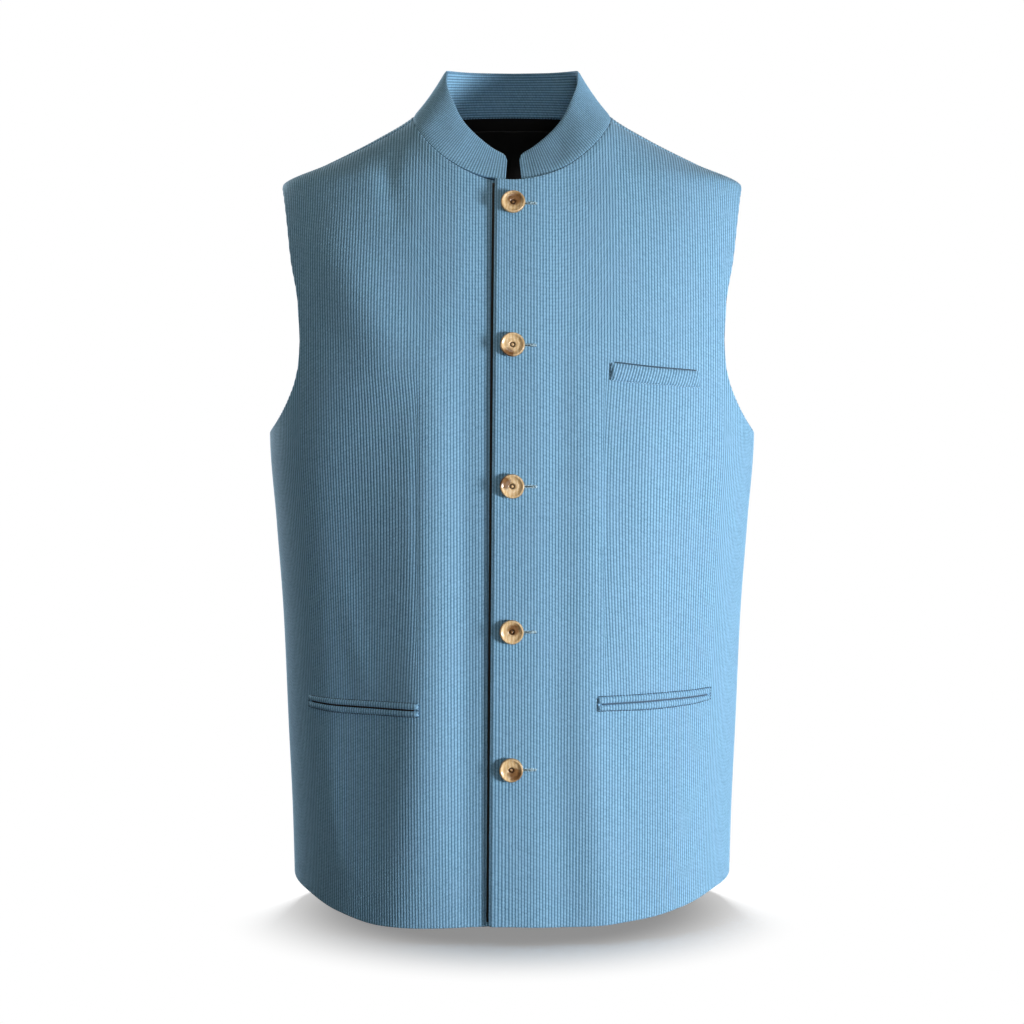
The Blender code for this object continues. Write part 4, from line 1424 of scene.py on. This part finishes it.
def horn_group():
    """Pale streaks, with a brown heart whose place is an input."""
    tree, given, out = new_group(
        "streaked_horn",
        [("Place", "Vector", None), ("Heart", "Vector", (0, 0, 0)), ("Reach", "Float", 0.5)],
        [("Color", "Color"), ("Height", "Float")],
    )
    place = given["Place"]
    warp = noise(tree, place, 2.2, 4.0, 0.6)["Color"]
    moved = vector_maths(tree, "MULTIPLY_ADD", warp, HORN_WARP, place)
    apart = vector_maths(tree, "DISTANCE", moved, given["Heart"])
    near = maths(tree, "DIVIDE", apart, given["Reach"])
    heart = add_node(tree, "ShaderNodeMapRange", near, From_Min=0.70, From_Max=1.20, To_Min=1.0, To_Max=0.0)
    wave = add_node(tree, "ShaderNodeTexWave", Vector=moved, Scale=1.1, Distortion=6.0, Detail=3.0)
    streak = wave.outputs["Fac"]
    cloud = noise(tree, place, 3.2, 4.0)["Fac"]
    pale = mix_colour(tree, streak, *PALE_HORN[:2])
    pale = mix_colour(tree, cloud, pale, PALE_HORN[2])
    brown = mix_colour(tree, cloud, *BROWN_HORN)
    fill(tree, out, Color=mix_colour(tree, heart.outputs["Result"], pale, brown), Height=streak)
    return tree


def horn_material(number, heart, reach):
    material, tree, shader = new_material(
        f"horn_{number}", Roughness=0.30, Coat_Weight=0.55, Coat_Roughness=0.18
    )
    place = cloth_map(tree)
    horn = add_node(tree, "ShaderNodeGroup", node_tree=HORN, Place=place, Heart=(*heart, 0), Reach=reach)
    # the well in the middle is darker, and the bead in it is bright; the outer edge is darkened too,
    # painted shade on the disc's rounded side
    ramp = add_node(tree, "ShaderNodeValToRGB", vector_maths(tree, "LENGTH", place))
    stops = ramp.color_ramp.elements
    while len(stops) < len(WELL_AND_EDGE_SHADE_STOPS):
        stops.new(0.5)
    for element, (at, value) in zip(stops, WELL_AND_EDGE_SHADE_STOPS):
        element.position = at
        element.color = (value, value, value, 1)
    colour, height = horn.outputs
    bump = add_node(tree, "ShaderNodeBump", Strength=0.25, Distance=0.0002, Height=height)
    fill(tree, shader, Base_Color=mix_colour(tree, ramp.outputs["Color"], colour, WELL_BROWN_AND_EDGE_SHADE))
    fill(tree, shader, Normal=bump.outputs[0])
    return material


HORN = horn_group()
print("group", HORN.name, "ready")

# %% The turned disc
BUTTON_HEIGHTS = (-0.0794, -0.1942, -0.3077, -0.4263, -0.5404)
BUTTON_ARCS = (0.0008, -0.0006)
BUTTON_LIFT = 0.0010
BUTTON_STEPS = 64
OVAL = 0.012
DENTS = 0.006
BUTTON_PROFILE = (
    (0.0, 0.0024),
    (0.0004, 0.0024),
    (0.0008, 0.0022),
    (0.0011, 0.0017),
    (0.0013, 0.0012),
    (0.0019, 0.0011),
    (0.0023, 0.0014),
    (0.0027, 0.0020),
    (0.0034, 0.0021),
    (0.0050, 0.0020),
    (0.0066, 0.0021),
    (0.0076, 0.0026),
    (0.0083, 0.0032),
    (0.0089, 0.0034),
    (0.0095, 0.0031),
    (0.0099, 0.0024),
    (0.0100, 0.0017),
    (0.0097, 0.0010),
    (0.0090, 0.0005),
    (0.0070, 0.0002),
    (0.0, 0.0),
)
BUTTON_HEARTS = (
    ((0.42, 0.50), 0.62),
    ((-0.10, -0.50), 0.55),
    ((-0.30, 0.55), 0.50),
    ((0.45, 0.45), 0.50),
    ((0.60, -0.05), 0.60),
)


def turned_disc(number):
    """Points and quads of a disc, slightly out of true as worked horn is."""
    radius, height = np.array(BUTTON_PROFILE).T
    turn = np.arange(BUTTON_STEPS) * 2 * math.pi / BUTTON_STEPS
    wobble = 1 + OVAL * np.sin(2 * turn + number) + DENTS * np.sin(5 * turn + 2 * number)
    across = radius[1:-1, None] * wobble
    level = np.broadcast_to(height[1:-1, None], across.shape)
    rings = np.stack([across * np.cos(turn), across * np.sin(turn), level], -1).reshape(-1, 3)
    index = np.arange(len(rings)).reshape(across.shape)
    after = np.roll(index, -1, axis=1)
    quads = np.stack([index[:-1], index[1:], after[1:], after[:-1]], -1).reshape(-1, 4)
    top, low = (np.full(BUTTON_STEPS, len(rings) + k) for k in (0, 1))
    crown = np.stack([top, index[0], after[0], after[0]], -1)
    base = np.stack([low, after[-1], index[-1], index[-1]], -1)
    points = np.concatenate([rings, [[0, 0, height[0]], [0, 0, height[-1]]]])
    return points, np.concatenate([quads, crown, base]), points[:, :2] / radius.max()


def button(number, z, heart, reach):
    """A turned disc set on the front's surface, facing straight out from it."""
    horn = horn_material(number, heart, reach)
    obj = new_mesh_object(f"horn_button_{number}", *turned_disc(number), [horn])
    down = (z - BUTTON_HEIGHTS[0]) / (BUTTON_HEIGHTS[-1] - BUTTON_HEIGHTS[0])
    arc = np.array([BUTTON_ARCS[0] + down * (BUTTON_ARCS[1] - BUTTON_ARCS[0])])
    level = np.array([z])
    out = Vector(outward(form_point(arc, level, "front"))[0])
    across = Vector((0, 0, 1)).cross(out).normalized()
    turned = Matrix((across, out.cross(across), out)).transposed().to_4x4()
    seat = Vector(panel_point("left_front", arc, level, BUTTON_LIFT)[0])
    obj.data.transform(Matrix.Translation(seat) @ turned)
    return obj


buttons = []
for number, z, heart in zip(range(1, 6), BUTTON_HEIGHTS, BUTTON_HEARTS):
    buttons.append(button(number, z, *heart))
print(len(buttons), "buttons,", 2 * BUTTON_STEPS * (len(BUTTON_PROFILE) - 1), "triangles each")

# %% [markdown]
# ## Buttonholes
#
# Each buttonhole is a slit from under the button towards the wearer's left, bound with close
# purl stitches. Only its outer end shows. The shade in the slit is painted as a thin dark strip,
# with a row of pale stitches along either side, a bar across the end, and a few loose hairs.

# %% Slit shadows and purl stitches
HOLE_START = 0.0095
HOLE_END = 0.0188
HOLE_DROP = 0.0003
SLIT_HALF = 0.00032
SLIT_LIFT = 0.00012
SLIT_UNDER = 0.0006
PURL_SPACING = 0.00052
PURL_START = 0.00022
PURL_REACH = 0.0011
PURL_LIFT = 0.0006
PURL_SHARES = np.array([0, 0.35, 0.7, 1.0])
PURL_RISE = np.array([0.2, 1.4, 1.0, -0.6])
PURL_LEAN = 0.0002
BAR_THREADS = 4
BAR_SPACING = 0.00028
BAR_HEIGHTS = np.linspace(-0.0012, 0.0012, 6)
BAR_RISE = np.array([0, 1.2, 2, 2, 1.2, 0])
HAIRS = 9
HAIR = np.linspace(0, 1, 6)
HAIR_RISE = 0.0002 + 0.0007 * np.sin(2.4 * HAIR)


def on_left(arcs, heights, lift):
    return panel_point("left_front", arcs, heights, lift)


def slit_paths(rng, z):
    """The purl stitches, the end bar and the loose hairs of one buttonhole."""
    found = []
    for side in (-1, 1):
        for arc in np.arange(HOLE_START, HOLE_END, PURL_SPACING):
            lean = rng.uniform(-PURL_LEAN, PURL_LEAN)
            reach = PURL_REACH * rng.uniform(0.75, 1.15)
            heights = z + side * (PURL_START + reach * PURL_SHARES)
            found.append(on_left(arc + lean * PURL_SHARES, heights, PURL_LIFT * PURL_RISE))
    for k in range(BAR_THREADS):
        arcs = np.full(len(BAR_HEIGHTS), HOLE_END + BAR_SPACING * k)
        found.append(on_left(arcs, z + BAR_HEIGHTS, PURL_LIFT * BAR_RISE))
    for _ in range(HAIRS):
        start = HOLE_END - rng.uniform(0, 0.006)
        bend = rng.uniform(-0.0012, 0.0012)
        heights = z + rng.uniform(-0.0008, 0.0008) + bend * HAIR**2
        arcs = start + rng.uniform(0.0012, 0.0030) * HAIR
        found.append(on_left(arcs, heights, HAIR_RISE))
    return found


def slit_shadow_strip(z):
    """Painted shade in a buttonhole's slit: a thin dark strip with a round outer end."""
    arcs = np.linspace(HOLE_START - 0.002, HOLE_END, 24)[None, :]
    share = (arcs - arcs.min()) / np.ptp(arcs)
    heights = z + SLIT_HALF * np.array([[-1], [0], [1]]) * np.sqrt(np.clip(1 - share**6, 0.02, 1))
    return layer_grid("left_front", arcs, heights, SLIT_LIFT, -SLIT_UNDER)


rng = np.random.default_rng(11)
levels = [z - HOLE_DROP for z in BUTTON_HEIGHTS]
purl = [path for z in levels for path in slit_paths(rng, z)]
buttonhole_thread = threads_object("buttonhole_thread", purl, 0.00024, PALE_THREAD)
slit_shadows = sheet_object("buttonhole_slit_shadows", [slit_shadow_strip(z) for z in levels], [BLACK_LINING_AND_SHADE])

# %% [markdown]
# ## The painted shadow in the gap under the lap
#
# Where the left front lies over the right one, its edge stands a little off the cloth below,
# and no light gets in there. A thin black strip beneath the edge is painted shadow: it keeps
# that gap dark from every side.

# %% The painted shadow in the gap
GAP_WIDTH = 0.0036
GAP_OUTSIDE = 0.0008
GAP_LIFT = 0.0001
GAP_UNDER = 0.0008

gap_levels = np.linspace(-0.0605, -0.670, 240)[:, None]
gap_arcs = LAP * lap_scale(gap_levels) - GAP_OUTSIDE + GAP_WIDTH * np.array([[0.0, 0.5, 1.0]])
lap_shadow_grid = layer_grid("right_front", gap_arcs, gap_levels, GAP_LIFT, -GAP_UNDER)
gap = sheet_object("lap_gap_shadow", [lap_shadow_grid], [BLACK_LINING_AND_SHADE])

# %% [markdown]
# ## Which node each piece stands for
#
# Every garment piece covers one plain solid, which is hidden, and moves with the whole
# jacket. Threads and the dark strips only ride along. For cloth, the cut size of each piece
# is stated as well.

# %% Riding and replacing
CLOTH_NAMES = "node piece flat share".split()
CLOTH = (
    ("front_left", front_left, (0.232, 0.672), 0.88),
    ("front_right", front_right, (0.230, 0.674), 0.88),
    ("back", back, (0.420, 0.680), 0.94),
    ("collar_outer", outer_band, (0.518, 0.040), 0.75),
    ("collar_inner", inner_band, (0.510, 0.040), 0.75),
    ("lining_back", lining, (0.420, 0.680), 0.96),
)


def stands_for(piece, node):
    """The piece covers a plain solid, which is hidden, and rides with the jacket."""
    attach(piece, "root")
    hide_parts(node)


for row in CLOTH:
    cut = dict(zip(CLOTH_NAMES, row))
    stands_for(cut["piece"], cut["node"])
for node, piece in lips.items():
    stands_for(piece, node)
for number, piece in enumerate(buttons, 1):
    stands_for(piece, f"button_{number}")
# the slit strips, the strip under the lap and the pocket mouth strips are painted shade
for piece in (pocket_stitches, welt_stitches, buttonhole_thread, slit_shadows, gap, *mouth_shadows):
    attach(piece, "root")
print(len(CLOTH) + len(lips) + len(buttons), "nodes covered")

# %% [markdown]
# ## Floor, backdrop and light
#
# The jacket stands clear of a plain pale floor. Seen directly, the floor and the backdrop are
# white, but the light that they send back onto the cloth is dull, so that the shaded side
# stays dark. A lamp above the floor lights only the floor and casts the jacket's shadow on it,
# and a painted oval mask fades that shadow to plain white, so the pool's soft outline is painted.
# The other lamps leave the floor out. The key stands low on the wearer's left, which lets the
# cords and folds show.

# %% Floor and backdrop
FLOOR_Z = -0.688
FLOOR_GLOW = 0.27
POOL_SIZE = (0.265, 0.215, 1.0)
POOL_CORE = 0.47
SOFT_AIR = (1.0, 0.93, 0.82)
SOFT_AIR_STRENGTH = 0.05


def emptied(owner):
    """The owner's node tree, cleared."""
    owner.use_nodes = True
    owner.node_tree.nodes.clear()
    return owner.node_tree


def mixed(tree, factor, low, high):
    return add_node(tree, "ShaderNodeMixShader", factor, low.outputs[0], high.outputs[0])


def seen_or_bounced(tree, seen, bounced, out):
    """One shader for rays from the viewer and another for light that bounces."""
    path = add_node(tree, "ShaderNodeLightPath").outputs["Is Camera Ray"]
    add_node(tree, out, mixed(tree, path, bounced, seen).outputs[0])


def floor_material():
    """A shadow pool near the jacket, whose soft oval outline is a painted mask. Away from it the floor is
    plain white, like the backdrop.
    """
    material = bpy.data.materials.new("pale_floor")
    tree = emptied(material)
    matt = add_node(tree, "ShaderNodeBsdfDiffuse", Color=(0.9, 0.9, 0.9))
    glow = add_node(tree, "ShaderNodeEmission", Color=(1, 1, 1), Strength=FLOOR_GLOW)
    pool = add_node(tree, "ShaderNodeAddShader", matt.outputs[0], glow.outputs[0])
    plain = add_node(tree, "ShaderNodeEmission", Color=(1, 1, 1), Strength=1.0)
    place = add_node(tree, "ShaderNodeTexCoord").outputs["Object"]
    # painted mask: inside the oval the floor shows its lamp and the real shadow, outside it turns plain
    # white
    apart = vector_maths(tree, "LENGTH", vector_maths(tree, "DIVIDE", place, POOL_SIZE))
    inside = add_node(tree, "ShaderNodeMapRange", apart, From_Min=1.0, From_Max=POOL_CORE)
    inside.interpolation_type = "SMOOTHSTEP"
    dull = add_node(tree, "ShaderNodeBsdfDiffuse", Color=(0.12, 0.12, 0.12))
    seen = mixed(tree, inside.outputs["Result"], plain, pool)
    seen_or_bounced(tree, seen, dull, "ShaderNodeOutputMaterial")
    return material


def studio_world():
    """White to the viewer. The cloth gets only a faint warm light from it."""
    world = bpy.data.worlds.new("studio")
    tree = emptied(world)
    white = add_node(tree, "ShaderNodeBackground", Color=(1, 1, 1), Strength=1.0)
    soft = add_node(tree, "ShaderNodeBackground", Color=SOFT_AIR, Strength=SOFT_AIR_STRENGTH)
    seen_or_bounced(tree, white, soft, "ShaderNodeOutputWorld")
    return world


bpy.ops.mesh.primitive_plane_add(size=16, location=(0, 0, FLOOR_Z))
floor = bpy.context.object
floor.name = "floor"
floor.data.materials.append(floor_material())
bpy.context.scene.world = studio_world()
print("floor at", FLOOR_Z)

# %% Lamps
LAMP_NAMES = "name at target size watts colour".split()
LAMPS = (
    ("key", (1.87, -1.19, -0.47), (0, 0, -0.40), 0.5, 58, (1.0, 1.0, 1.0)),
    ("front", (0.2, -2.2, -0.30), (0, 0, -0.32), 0.6, 3.8, (1.0, 0.97, 0.93)),
    ("left_fill", (-0.9, -0.3, 1.60), (0, 0, -0.20), 1.0, 5.5, (1.0, 0.84, 0.60)),
    ("left_low", (-2.2, -0.9, -0.10), (0, 0, -0.45), 0.8, 1.9, (1.0, 0.90, 0.74)),
    ("collar", (0.20, -1.40, 0.50), (0, 0, 0.02), 0.4, 2.2, (1.0, 0.98, 0.95)),
    ("behind", (-1.7, 1.6, 0.2), (0, 0, -0.30), 0.8, 44, (1.0, 1.0, 1.0)),
    ("over_floor", (0.0, 0.50, 1.1), (0, 0.0, -0.69), 0.3, 37, (1.0, 1.0, 1.0)),
)
lit = {}
for name in ("floor_only", "all_but_floor"):
    lit[name] = bpy.data.collections.new(name)
    lit[name].objects.link(floor)


def add_lamp(name, at, target, size, watts, colour):
    """A square area lamp that faces its target."""
    data = bpy.data.lights.new(name, "AREA")
    data.size = size
    data.energy = watts
    data.color = colour
    lamp = bpy.data.objects.new(name, data)
    bpy.context.scene.collection.objects.link(lamp)
    lamp.location = at
    lamp.rotation_euler = (Vector(target) - Vector(at)).to_track_quat("-Z", "Y").to_euler()
    receivers = lit["floor_only" if name == "over_floor" else "all_but_floor"]
    lamp.light_linking.receiver_collection = receivers


for row in LAMPS:
    add_lamp(**dict(zip(LAMP_NAMES, row)))
lit["all_but_floor"].collection_objects[0].light_linking.link_state = "EXCLUDE"
print(len(LAMPS), "lamps")

# %% [markdown]
# ## The end
#
# The cloth should hardly leave the plain walls' box.

# %% Finish
print("scene built")
